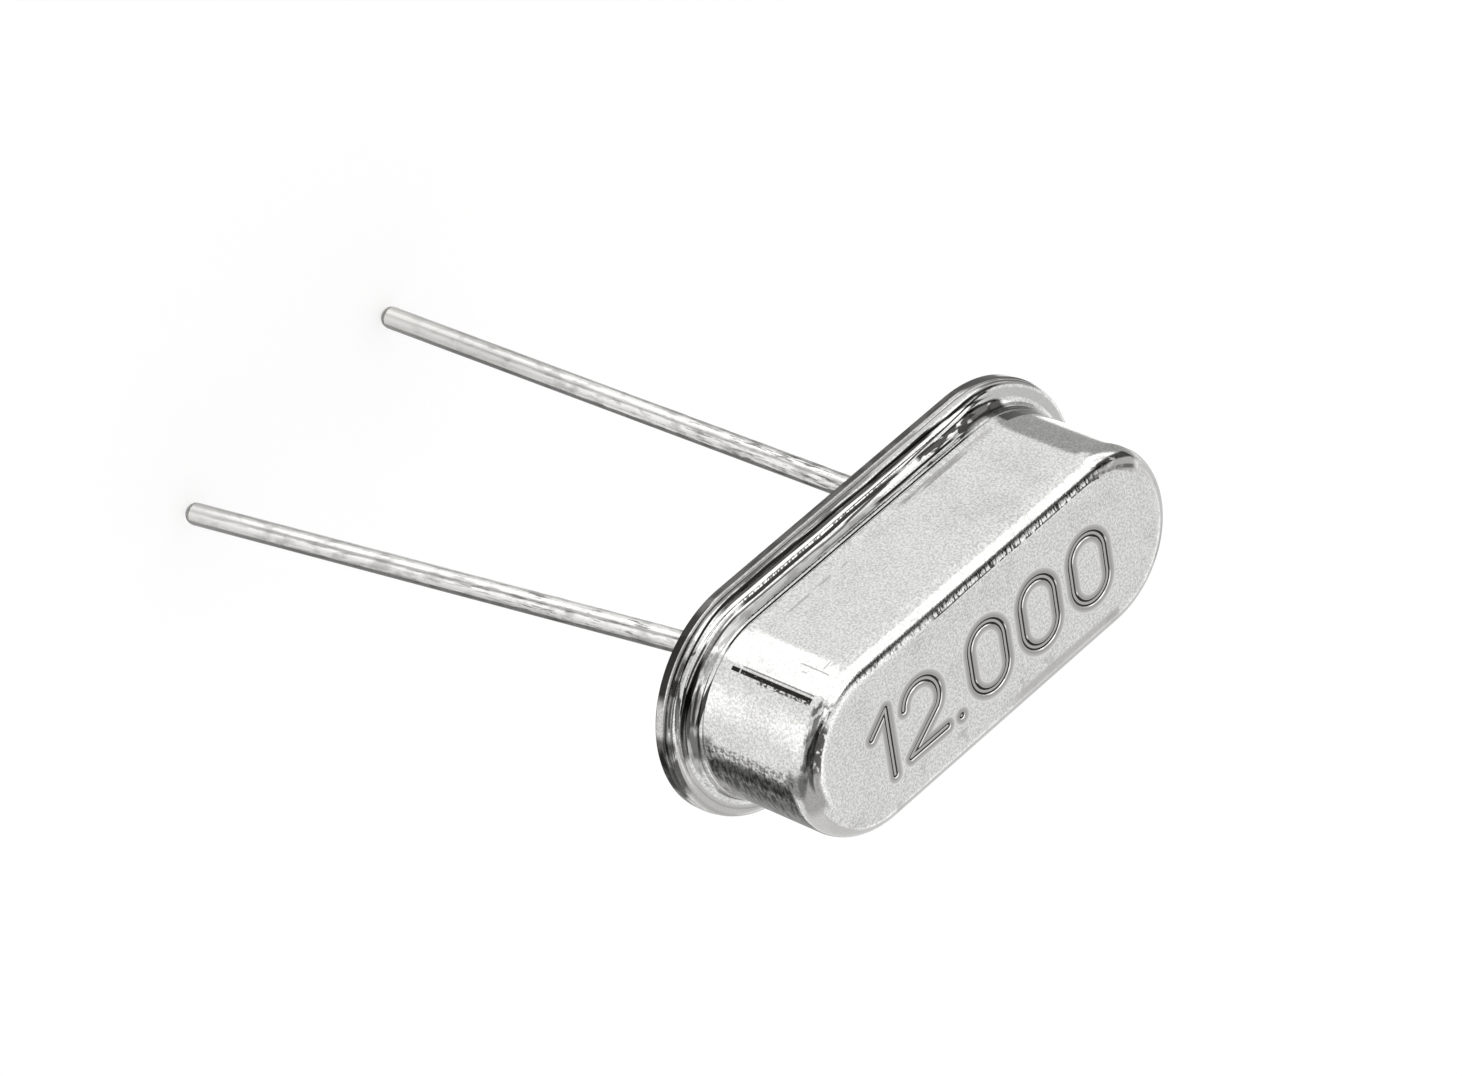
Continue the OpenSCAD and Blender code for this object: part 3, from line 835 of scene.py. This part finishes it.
    def _painted_bands(self, tree: Tree, local: Source, marks: Source) -> Source:
        """Lays the painted reflection and shade bands over the plate.

        Args:
            tree: The node tree to add to.
            local: Place from the wire's centre line in mm.
            marks: Fine noise drawn out along the wire, which breaks the streaks up.

        Returns:
            The colour with the streaks on it.
        """
        ahead = add_node(tree, "VectorMath", (local, self.front), operation="DOT_PRODUCT")
        aside = add_node(tree, "VectorMath", (local, self.flank), operation="DOT_PRODUCT")
        turn = add_node(tree, "Math", (aside, ahead), operation="ARCTAN2")
        turn = add_node(tree, "Math", (turn,), operation="DEGREES")
        wander = add_node(tree, "MapRange", (marks, 0.3, 0.7, -5.0, 5.0))
        turn = add_node(tree, "Math", (turn, wander), operation="ADD")
        colour: object = linear(self.colour)
        for streak in self.streaks:
            off = add_node(tree, "Math", (turn, streak.centre), operation="SUBTRACT")
            off = add_node(tree, "Math", (off,), operation="ABSOLUTE")
            limits = (off, streak.half + streak.fade, streak.half, 0.0, streak.strength)
            laid = add_node(tree, "MapRange", limits, interpolation_type="SMOOTHSTEP")
            colour = add_node(tree, "Mix", {0: laid, 6: colour, 7: linear(self.streak)}, data_type="RGBA")
        return colour


@dataclass(frozen=True)
class SpringMetal(Finish):
    """Rolled nickel silver strip: fine roll lines along the strip and a slightly warm tone."""

    name: str = "rolled nickel silver strip"
    colour: str = "#C9C4B8"
    line: str = "#A39E92"

    def shading(self, tree: Tree) -> dict[str, object]:
        """Feeds the shader with roll lines in the colour and the relief."""
        place = add_node(tree, "TexCoord").outputs["Object"]
        rolled = add_node(tree, "VectorMath", (place, (1500.0, 26000.0, 1500.0)), operation="MULTIPLY")
        lines = add_node(tree, "TexNoise", {"Vector": rolled, "Scale": 1.0, "Detail": 3.0})
        tones = {0: lines, 6: linear(self.colour), 7: linear(self.line)}
        return {
            "Base Color": add_node(tree, "Mix", tones, data_type="RGBA"),
            "Metallic": 1.0,
            "Roughness": 0.28,
            "Normal": add_node(tree, "Bump", {"Strength": 0.8, "Distance": mm(0.002), "Height": lines}),
        }


@dataclass(frozen=True)
class SealGlass(Finish):
    """Fused sealing glass: dark, glossy, with seed bubbles just under the surface."""

    name: str = "fused sealing glass"
    colour: str = "#26332F"
    seed: str = "#4E5F58"

    def shading(self, tree: Tree) -> dict[str, object]:
        """Feeds the shader with seed bubbles in the colour and a slow flow in the relief."""
        place = add_node(tree, "TexCoord").outputs["Object"]
        seeds = add_node(tree, "TexVoronoi", {"Vector": place, "Scale": 11000.0, "Randomness": 1.0})
        spots = add_node(tree, "MapRange", (seeds, 0.12, 0.2, 0.8, 0.0))
        flow = add_node(tree, "TexNoise", {"Vector": place, "Scale": 4000.0, "Detail": 1.0})
        tones = {0: spots, 6: linear(self.colour), 7: linear(self.seed)}
        return {
            "Base Color": add_node(tree, "Mix", tones, data_type="RGBA"),
            "Roughness": 0.08,
            "IOR": 1.52,
            "Normal": add_node(tree, "Bump", {"Strength": 1.0, "Distance": mm(0.006), "Height": flow}),
        }


@dataclass(frozen=True)
class LappedQuartz(Finish):
    """Lapped and etched quartz: clear but frosted, with the fine pits that lapping leaves."""

    name: str = "lapped quartz"
    colour: str = "#E4E9EA"

    def shading(self, tree: Tree) -> dict[str, object]:
        """Feeds the shader with pits in the roughness and the relief."""
        place = add_node(tree, "TexCoord").outputs["Object"]
        pits = add_node(tree, "TexNoise", {"Vector": place, "Scale": 16000.0, "Detail": 4.0})
        return {
            "Base Color": linear(self.colour),
            "Roughness": add_node(tree, "MapRange", (pits, 0.3, 0.7, 0.28, 0.46)),
            "IOR": 1.54,
            "Transmission Weight": 0.85,
            "Normal": add_node(tree, "Bump", {"Strength": 0.8, "Distance": mm(0.003), "Height": pits}),
        }


@dataclass(frozen=True)
class SilverFilm(Finish):
    """Evaporated silver film on lapped quartz: pale satin, cloudy where it has begun to dull."""

    name: str = "evaporated silver film"
    colour: str = "#E6E3DC"
    dull: str = "#BDB6A6"

    def shading(self, tree: Tree) -> dict[str, object]:
        """Feeds the shader with clouds in the colour and the quartz's pits in the relief."""
        place = add_node(tree, "TexCoord").outputs["Object"]
        cloud = add_node(tree, "TexNoise", {"Vector": place, "Scale": 1400.0, "Detail": 5.0})
        pits = add_node(tree, "TexNoise", {"Vector": place, "Scale": 16000.0, "Detail": 3.0})
        tones = {0: cloud, 6: linear(self.colour), 7: linear(self.dull)}
        return {
            "Base Color": add_node(tree, "Mix", tones, data_type="RGBA"),
            "Metallic": 1.0,
            "Roughness": 0.32,
            "Normal": add_node(tree, "Bump", {"Strength": 0.6, "Distance": mm(0.003), "Height": pits}),
        }


@dataclass(frozen=True)
class SilverResin(Finish):
    """Cured resin filled with silver flake: dull light grey with a sparkle of flakes."""

    name: str = "silver filled resin"
    colour: str = "#A9A7A1"
    flake: str = "#DEDCD6"

    def shading(self, tree: Tree) -> dict[str, object]:
        """Feeds the shader with flakes in the colour and lumps in the relief."""
        place = add_node(tree, "TexCoord").outputs["Object"]
        flakes = add_node(tree, "TexVoronoi", {"Vector": place, "Scale": 26000.0}).outputs["Color"]
        amount = add_node(tree, "MapRange", (flakes, 0.55, 0.75, 0.0, 0.8))
        lumps = add_node(tree, "TexNoise", {"Vector": place, "Scale": 9000.0, "Detail": 4.0})
        tones = {0: amount, 6: linear(self.colour), 7: linear(self.flake)}
        return {
            "Base Color": add_node(tree, "Mix", tones, data_type="RGBA"),
            "Metallic": 0.6,
            "Roughness": 0.5,
            "Normal": add_node(tree, "Bump", {"Strength": 1.0, "Distance": mm(0.01), "Height": lumps}),
        }


# ---------------------------------------------------------------------------------------------------------
# The object
# ---------------------------------------------------------------------------------------------------------


@dataclass(frozen=True)
class Run:
    """A straight stretch of an engraved stroke."""

    length: float


@dataclass(frozen=True)
class Bend:
    """A curved stretch of an engraved stroke, anticlockwise about a centre to the left of the path."""

    angle: float
    hub_left: float


@dataclass(frozen=True)
class Stroke:
    """One pass of the engraving tool, from a start point in a heading through its moves."""

    start: Point
    heading: float
    moves: tuple[Run | Bend, ...]
    ring: bool = False


@dataclass
class Figures:
    """The plain figures engraved on the top face, all leaning the same way."""

    height: float = 1.42
    step: float = 1.40
    slant: float = 8.0
    zero_width: float = 0.92
    two_radius: float = 0.46
    tip_width: float = 0.022
    floor_width: float = 0.060
    half_width: float = 0.075
    halo: float = 0.20
    depth: float = 0.022
    clearance: float = 0.03
    first_zero: Point = (-0.13, -0.18)
    one: Point = (-2.82, -0.18)
    two: Point = (-1.95, -0.18)
    dot: Point = (-1.10, -0.87)

    def groove(self, number: int) -> list[Point]:
        """Half section of the tool, from its tip outwards and back to the axis above the surface.

        Args:
            number: Place of the stroke in the order of cutting. Each one is a hair deeper than the last,
                so that no two floors lie in one plane where strokes meet.

        Returns:
            Distances from the stroke's middle line and heights above the surface.
        """
        depth = self.depth * (1 + 0.003 * number)
        return [
            (0.0, -depth),
            (self.tip_width, -depth),
            (self.floor_width, -depth * 0.8),
            (self.half_width - 0.003, -depth * 0.06),
            (self.half_width + 0.008, -depth * 0.05),
            (self.halo, 0.0),
            (self.halo + 0.02, 0.0002),
            (self.halo + 0.02, self.clearance),
            (0.0, self.clearance),
        ]

    @staticmethod
    def _line(start: Point, end: Point) -> Stroke:
        """A straight stroke between two points."""
        away = (end[0] - start[0], end[1] - start[1])
        return Stroke(start, math.degrees(math.atan2(away[1], away[0])), (Run(math.hypot(*away)),))

    def zero(self) -> list[Stroke]:
        """A ring of two half rounds and two straight sides."""
        radius = self.zero_width / 2
        side = self.height - self.zero_width
        lap = (Run(side), Bend(180, radius), Run(side), Bend(180, radius))
        return [Stroke((radius, -side / 2), 90, lap, True)]

    def numeral_one(self) -> list[Stroke]:
        """An upright and its flag."""
        top = (0.0, self.height / 2)
        beside = (-0.004, self.height / 2 - 0.007)
        flag = (-0.44, self.height / 2 - 0.42)
        return [self._line(top, (0.0, -self.height / 2)), self._line(beside, flag)]

    def numeral_two(self) -> list[Stroke]:
        """An arc over the top, a slanting stroke and a foot."""
        radius = self.two_radius
        first, last = -38, 172
        centre = (0.02, self.height / 2 - radius)
        turn_off = (
            centre[0] + radius * math.cos(math.radians(first)),
            centre[1] + radius * math.sin(math.radians(first)),
        )
        heel = (-0.42, -self.height / 2)
        return [
            Stroke(turn_off, first + 90, (Bend(last - first, radius),)),
            self._line((turn_off[0] + 0.004, turn_off[1] + 0.006), heel),
            self._line((heel[0] + 0.005, heel[1] + 0.003), (heel[0] + 0.98, heel[1] + 0.13)),
        ]

    def marks(self) -> list[tuple[Point, list[Stroke]]]:
        """Every numeral with its centre."""
        across, up = self.first_zero
        zeros = [((across + self.step * number, up), self.zero()) for number in range(3)]
        return [*zeros, (self.one, self.numeral_one()), (self.two, self.numeral_two())]

    def tool(self, centre: Point, stroke: Stroke, surface: float, number: int) -> bpy.types.Object:
        """Makes the shape that one stroke takes away.

        Args:
            centre: Centre of the numeral on the face.
            stroke: The stroke.
            surface: Height of the face.
            number: Place of the stroke in the order of cutting.

        Returns:
            The closed tool.
        """
        lean = math.radians(-self.slant)
        start = (
            centre[0] + stroke.start[0] * math.cos(lean) - stroke.start[1] * math.sin(lean),
            centre[1] + stroke.start[0] * math.sin(lean) + stroke.start[1] * math.cos(lean),
        )
        half = [(out, surface + up) for out, up in self.groove(number)]
        if stroke.ring:
            half = [(-out, up) for out, up in reversed(half)][:-1] + half + [(-half[-1][0], half[-1][1])]
        sweep = Sweep("engraving_tool", start, stroke.heading - self.slant, half)
        for move in stroke.moves:
            self._follow(sweep, move, 1)
        if not stroke.ring:
            sweep.turn(180, 16)
            for move in reversed(stroke.moves):
                self._follow(sweep, move, -1)
            sweep.turn(180, 16)
        return sweep.close()

    @staticmethod
    def _follow(sweep: Sweep, move: Run | Bend, way: int) -> None:
        """Carries a sweep along one move, forwards or backwards."""
        if isinstance(move, Run):
            sweep.run(move.length, 4)
        else:
            sweep.turn(move.angle * way, 32, move.hub_left * way)

    def engrave(self, face: bpy.types.Object, surface: float) -> None:
        """Cuts every figure and the dot into a face, keeping the tool's finish in the grooves.

        Args:
            face: The piece, with the engraved finish in its second slot.
            surface: Height of the face.
        """
        strokes = [(centre, stroke) for centre, numeral in self.marks() for stroke in numeral]
        tools = [self.tool(*stroke, surface, number) for number, stroke in enumerate(strokes)]
        section = [(out, surface + up) for out, up in self.groove(len(strokes))]
        tools.append(Sweep("engraving_tool", self.dot, 0.0, section).turn(360, 32).close())
        for tool in tools:
            for material in face.data.materials:
                tool.data.materials.append(material)
            for polygon in tool.data.polygons:
                polygon.material_index = 1
            cut_away(face, tool)


@dataclass
class Lid(RoundEnded):
    """The drawn can with its flange and the figures on its top face.

    The foot of the wall bulges in small steps, each given as its distance past the wall, its height and
    the number of its chords. The rim's shift is shared between the shift lines.
    """

    wall_out: float = 1.895
    wall_in: float = 1.645
    flat_edge: float = 1.287
    top_z: float = 3.47
    under_top_z: float = 3.22
    inner_flare_z: float = 3.06
    weld_z: float = 0.39
    lip_z: float = 0.41
    flange_z: float = 0.58
    flange_out: float = 2.162
    lip_out: float = 2.353
    weld_out: float = 2.335
    weld_in: float = 2.055
    wall_top: float = 3.20
    flange_top: float = 0.90
    crown_r: float = 1.6
    edge_r: float = 0.40
    fillet_r: float = 0.204
    flange_r: float = 0.43
    lip_r: float = 0.07
    corner_r: float = 0.02
    flare_r: float = 0.41
    inner_r: float = 0.16
    foot: tuple[tuple[float, float, int], ...] = (
        (0.0, 1.25, 6),
        (0.008, 1.05, 2),
        (0.026, 0.90, 3),
        (0.018, 0.872, 2),
        (0.036, 0.828, 2),
        (0.036, 0.784, 2),
    )
    shift: Point = (-0.037, 0.047)
    shift_lines: tuple[float, ...] = (1.955, 2.01, 2.07, 2.12)

    def section(self) -> list[Point]:
        """Half section from the rim of the flat top, round the outside and back up the inside."""
        points: list[Point] = [(self.flat_edge, self.top_z)]
        points += arc(points[-1], self.crown_r, 90, 80, 6)
        points += arc(points[-1], self.edge_r, 80, 0, 20)
        for past, height, steps in self.foot:
            points += straight(points[-1], (self.wall_out + past, height), steps)
        points += hollow(points[-1], self.fillet_r, 0, 90, 16)
        points += straight(points[-1], (self.flange_out, self.flange_z), 3)
        points += arc(points[-1], self.flange_r, 90, 69, 8)
        points += arc(points[-1], self.lip_r, 69, -5, 10)
        points += straight(points[-1], (self.lip_out, self.lip_z), 3)
        points += arc(points[-1], self.corner_r, -5, -60, 3)
        points += [(self.weld_out, self.weld_z), (self.weld_in, self.weld_z)]
        points += arc(points[-1], self.flare_r, -90, -180, 10)
        points += straight(points[-1], (self.wall_in, self.inner_flare_z), 2)
        points += hollow(points[-1], self.inner_r, -180, -90, 6)
        return points

    def build(self) -> bpy.types.Object:
        """Builds the lid and dresses it."""
        piece = self.sweep("lid", self.section(), (self.top_z, self.under_top_z))
        self.shift_rim(piece, self.shift_lines, self.flange_z + 0.1, self.shift)
        piece.data.materials.append(NickelPlate().build())
        piece.data.materials.append(EngravedNickel(surface=self.top_z).build())
        Figures().engrave(piece, self.top_z)
        self._part_finishes(piece)
        smooth(piece)
        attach(piece, "root")
        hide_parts("can")
        return piece

    def _part_finishes(self, piece: bpy.types.Object) -> None:
        """Gives the wall and the flange their own painted reflections and shade."""
        for name, marks, top in (
            ("satin nickel plate on the drawn wall", WALL_PAINTED_LIGHT, self.wall_top),
            ("burnished nickel plate on the flange", FLANGE_PAINTED_LIGHT, self.flange_top),
        ):
            piece.data.materials.append(NickelPlate(name, streaked_edge=False, marks=marks).build())
            for face in piece.data.polygons:
                if face.center.z < mm(top):
                    face.material_index = len(piece.data.materials) - 1


@dataclass
class BasePlate(RoundEnded):
    """The stamped base: flange, seat below it, raised middle and the two seal holes."""

    lead_x: float = 2.44
    seal_r: float = 0.5
    middle_out: float = 1.45
    middle_z: float = 0.75
    step_out: float = 1.60
    step_z: float = 0.40
    flange_z: float = 0.39
    flange_out: float = 2.335
    rim_out: float = 2.380
    rim_z: float = 0.17
    seat_z: float = 0.15
    seat_out: float = 1.82
    foot_out: float = 1.80
    foot_z: float = 0.075
    bore: Point = (-0.2, 0.95)
    middle_r: float = 0.15
    root_r: float = 0.01
    rim_r: float = 0.05
    corner_r: float = 0.02
    foot_r: float = 0.075
    shift: Point = (-0.018, 0.023)
    shift_lines: tuple[float, ...] = (2.0, 2.2)

    def section(self) -> list[Point]:
        """Half section from the raised middle, round the rim and in under the seat."""
        points: list[Point] = [(self.middle_out, self.middle_z)]
        points += arc(points[-1], self.middle_r, 90, 0, 8)
        points += [(self.step_out, self.step_z)]
        points += hollow(points[-1], self.root_r, 0, 90, 2)
        points += straight(points[-1], (self.flange_out, self.flange_z), 4)
        points += arc(points[-1], self.rim_r, 90, -2, 9)
        points += straight(points[-1], (self.rim_out, self.rim_z), 4)
        points += arc(points[-1], self.corner_r, -2, -90, 7)
        points += straight(points[-1], (self.seat_out, self.seat_z), 4)
        points += hollow(points[-1], self.corner_r, -90, 0, 3)
        points += [(self.foot_out, self.foot_z)]
        points += arc(points[-1], self.foot_r, 0, -90, 6)
        return points

    def build(self) -> bpy.types.Object:
        """Builds the base plate."""
        piece = self.sweep("base_plate", self.section(), (self.middle_z, 0.0))
        self.shift_rim(piece, self.shift_lines, self.step_z, self.shift)
        low, high = self.bore
        section = [(0.0, low), (self.seal_r, low), (self.seal_r, high), (0.0, high)]
        for side in (-1, 1):
            drill = Sweep("drill", (side * self.lead_x, 0.0), 0.0, section).turn(360, 48).close()
            cut_away(piece, drill)
        plate = NickelPlate(
            "satin nickel plate on stamped steel", colour="#D6D5D3", streaked_edge=False, marks=BASE_PAINTED_LIGHT
        )
        piece.data.materials.append(plate.build())
        smooth(piece)
        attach(piece, "root")
        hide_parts("base")
        return piece


# ---------------------------------------------------------------------------------------------------------
# Studio
# ---------------------------------------------------------------------------------------------------------


@dataclass(frozen=True)
class Panel:
    """A soft-edged paper, box or flag of the studio, by the direction in which the object sees it.

    Angles are in degrees. A round card spans its half width every way.
    """

    name: str
    azimuth: float
    elevation: float
    half_width: float
    half_height: float
    edge: float
    level: float
    round_card: bool = False


@dataclass
class Studio:
    """Camera, floor and surroundings.

    The camera is turned so that the object lies on its side in the picture. Around is the level of what the
    metal sees beside the panels.
    """

    lens: float = 197.24
    sensor: float = 36.0
    place: Triple = (-70.636, 88.956, 95.472)
    ahead: Triple = (0.469186, -0.590872, -0.656304)
    up: Triple = (0.5730743, 0.76660714, -0.28965384)
    floor_z: float = -15.34
    floor_size: float = 3.0
    paper: str = "#C8C8C8"
    white: str = "#FFFFFF"
    glow: float = 0.45
    around: float = 1.03
    panels: tuple[Panel, ...] = (
        Panel("side paper", 152, -5, 14, 40, 14, 1.45),
        Panel("dim paper", 118, 48, 22, 12, 8, 0.80),
        Panel("under the object, left", -60, -90, 120, 41, 3, 0.16),
        Panel("under the object, right", 120, -90, 60, 37.8, 3, 0.03),
        Panel("under the object, far left", -103, -90, 42, 42, 3, 0.03),
        Panel("left flag", -154, 11, 13, 46, 4, 0.38),
        Panel("front paper", -80, 11, 55, 0, 3, 1.0, True),
        Panel("crescent flag", -38, 15, 44, 0, 2, 0.07, True),
        Panel("inner front paper", -52, 12, 45, 0, 3, 0.93, True),
        Panel("front paper, right part", -8, 8, 20, 34, 3, 1.0),
        Panel("upper left flag", -115, 75, 67, 20, 2, 0.08),
        Panel("upper left paper", -131, 67, 34, 13, 3, 0.24),
        Panel("rim card", -73, 64.5, 25, 9.5, 2, 1.20),
        Panel("bright card", -44, 50.5, 9, 3.5, 1.5, 1.4),
        Panel("bright card, left part", -59, 49, 7, 5, 1.5, 1.4),
        Panel("low card", -50, 14, 26, 7, 2, 1.25),
        Panel("lower left flag", -129.5, -38, 13.0, 11, 5, 0.13),
        Panel("lower front paper", -84, -41, 36, 10, 4, 0.38),
        Panel("lower front paper, left part", -106, -41, 12, 10, 4, 0.25),
        Panel("overhead box", 25, 78, 65, 17, 3, 1.70),
        Panel("key box", 55, 37, 50, 25, 3, 1.70),
        Panel("key box, low part", 84, -3.5, 23, 46.5, 2, 1.70),
        Panel("grey paper", 57, 0, 15, 35, 6, 1.10),
        Panel("table paper", 10, -18, 26, 26, 4, 0.46),
        Panel("table paper, light part", 48, -26, 13, 25, 3, 1.03),
        Panel("low front light", -30, -38, 13, 7, 3, 1.45),
        Panel("short flag", -22, 57, 19, 5.5, 2, 0.06),
    )

    def camera(self) -> None:
        """Puts the camera in its place at its viewing angle."""
        data = bpy.data.cameras.new("camera")
        data.lens = self.lens
        data.sensor_width = self.sensor
        data.clip_start = mm(5)
        data.clip_end = 20.0
        camera = bpy.data.objects.new("camera", data)
        bpy.context.scene.collection.objects.link(camera)
        back = -Vector(self.ahead).normalized()
        right = Vector(self.up).cross(back).normalized()
        turn = Matrix((right, back.cross(right), back)).transposed().to_4x4()
        camera.matrix_world = Matrix.Translation(Vector(self.place) * 0.001) @ turn
        bpy.context.scene.camera = camera

    def floor(self) -> None:
        """Lays the pale floor at the tips of the leads, clear when seen from below."""
        bpy.ops.object.select_all(action="DESELECT")
        bpy.ops.mesh.primitive_grid_add(
            x_subdivisions=4, y_subdivisions=4, size=self.floor_size, location=(0, 0, mm(self.floor_z))
        )
        floor = bpy.context.object
        floor.name = "floor"
        floor.visible_glossy = False
        floor.visible_transmission = False
        material, tree = begin_material("pale paper")
        paper = add_node(tree, "BsdfDiffuse", {"Color": linear(self.paper)})
        glow = add_node(tree, "Emission", {"Color": linear(self.white), "Strength": self.glow})
        both = add_node(tree, "AddShader", (paper, glow))
        clear = add_node(tree, "BsdfTransparent")
        below = add_node(tree, "NewGeometry").outputs["Backfacing"]
        mix = add_node(tree, "MixShader", (below, both, clear))
        add_node(tree, "OutputMaterial", {"Surface": mix})
        floor.data.materials.append(material)

    def surroundings(self) -> None:
        """Builds the world: plain white for the camera and the floor, papers and flags for the metal."""
        world = bpy.data.worlds.new("studio")
        bpy.context.scene.world = world
        world.use_nodes = True
        tree = world.node_tree
        tree.nodes.clear()
        seen = add_node(tree, "TexCoord").outputs["Generated"]
        x, y, z = add_node(tree, "SeparateXYZ", (seen,)).outputs
        azimuth = add_node(tree, "Math", (y, x), operation="ARCTAN2")
        elevation = add_node(tree, "Math", (z,), operation="ARCSINE")
        level: object = self.around
        for panel in self.panels:
            mask = self._mask(tree, panel, seen, azimuth, elevation)
            level = add_node(tree, "Mix", {0: mask, 2: level, 3: panel.level})
        metal_sees = add_node(tree, "Background", {"Color": linear(self.white), "Strength": level})
        plain = add_node(tree, "Background", {"Color": linear(self.white), "Strength": 1.0})
        glossy = add_node(tree, "LightPath").outputs["Is Glossy Ray"]
        mix = add_node(tree, "MixShader", (glossy, plain, metal_sees))
        add_node(tree, "OutputWorld", {"Surface": mix})

    @staticmethod
    def _fade(tree: Tree, offset: Source, half: float, edge: float) -> bpy.types.Node:
        """One inside a half width given in degrees, fading to zero across its soft edge."""
        limits = (math.radians(half - edge), math.radians(half + edge))
        return add_node(tree, "MapRange", (offset, *limits, 1.0, 0.0), interpolation_type="SMOOTHSTEP")

    def _mask(
        self, tree: Tree, panel: Panel, seen: Source, azimuth: Source, elevation: Source
    ) -> bpy.types.Node:
        """How much of a panel is seen in each direction.

        Args:
            tree: The world's node tree.
            panel: The panel.
            seen: Direction from the object.
            azimuth: Its azimuth in radians.
            elevation: Its elevation in radians.

        Returns:
            The node whose output is between 0 and 1.
        """
        turn, rise = math.radians(panel.azimuth), math.radians(panel.elevation)
        if panel.round_card:
            middle = (math.cos(rise) * math.cos(turn), math.cos(rise) * math.sin(turn), math.sin(rise))
            near = add_node(tree, "VectorMath", (seen, middle), operation="DOT_PRODUCT")
            away = add_node(tree, "Math", (near,), operation="ARCCOSINE")
            return self._fade(tree, away, panel.half_width, panel.edge)
        side = add_node(tree, "Math", (azimuth, turn), operation="SUBTRACT")
        side = add_node(tree, "Math", (side, math.pi, -math.pi), operation="WRAP")
        high = add_node(tree, "Math", (elevation, rise), operation="SUBTRACT")
        masks = []
        for offset, half in ((side, panel.half_width), (high, panel.half_height)):
            offset = add_node(tree, "Math", (offset,), operation="ABSOLUTE")
            masks.append(self._fade(tree, offset, half, panel.edge))
        return add_node(tree, "Math", masks, operation="MULTIPLY")

    def build(self) -> None:
        """Builds the studio."""
        self.camera()
        self.floor()
        self.surroundings()
        bpy.context.scene.view_settings.view_transform = "Standard"


class Fittings:
    """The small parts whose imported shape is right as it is: they only need their finish."""

    def dress(self, nodes: Mapping[str, bpy.types.Object]) -> None:
        """Puts the finishes into the nodes' material slots."""
        plan: tuple[tuple[Finish, tuple[str, ...]], ...] = (
            (TinnedWire(), ("left_lead", "right_lead")),
            (SealGlass(), ("left_seal", "right_seal")),
            (SpringMetal(), ("left_clip", "right_clip")),
            (LappedQuartz(), ("quartz_blank",)),
            (SilverFilm(), ("upper_electrode", "lower_electrode")),
            (SilverResin(), ("left_bond", "right_bond")),
        )
        for finish, names in plan:
            material = finish.build()
            for name in names:
                mesh = nodes[name].data
                mesh.materials.clear()
                mesh.materials.append(material)
                LOG.info("%s: %s", name, finish.name)


def main() -> None:
    """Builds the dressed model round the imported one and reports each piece."""
    logging.basicConfig(level=logging.INFO, format="%(name)s: %(message)s")
    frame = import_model()
    for piece in (Lid().build(), BasePlate().build()):
        LOG.info("%s: %d faces", piece.name, len(piece.data.polygons))
    Fittings().dress(frame["nodes"])
    Studio().build()


if __name__ == "__main__":
    main()
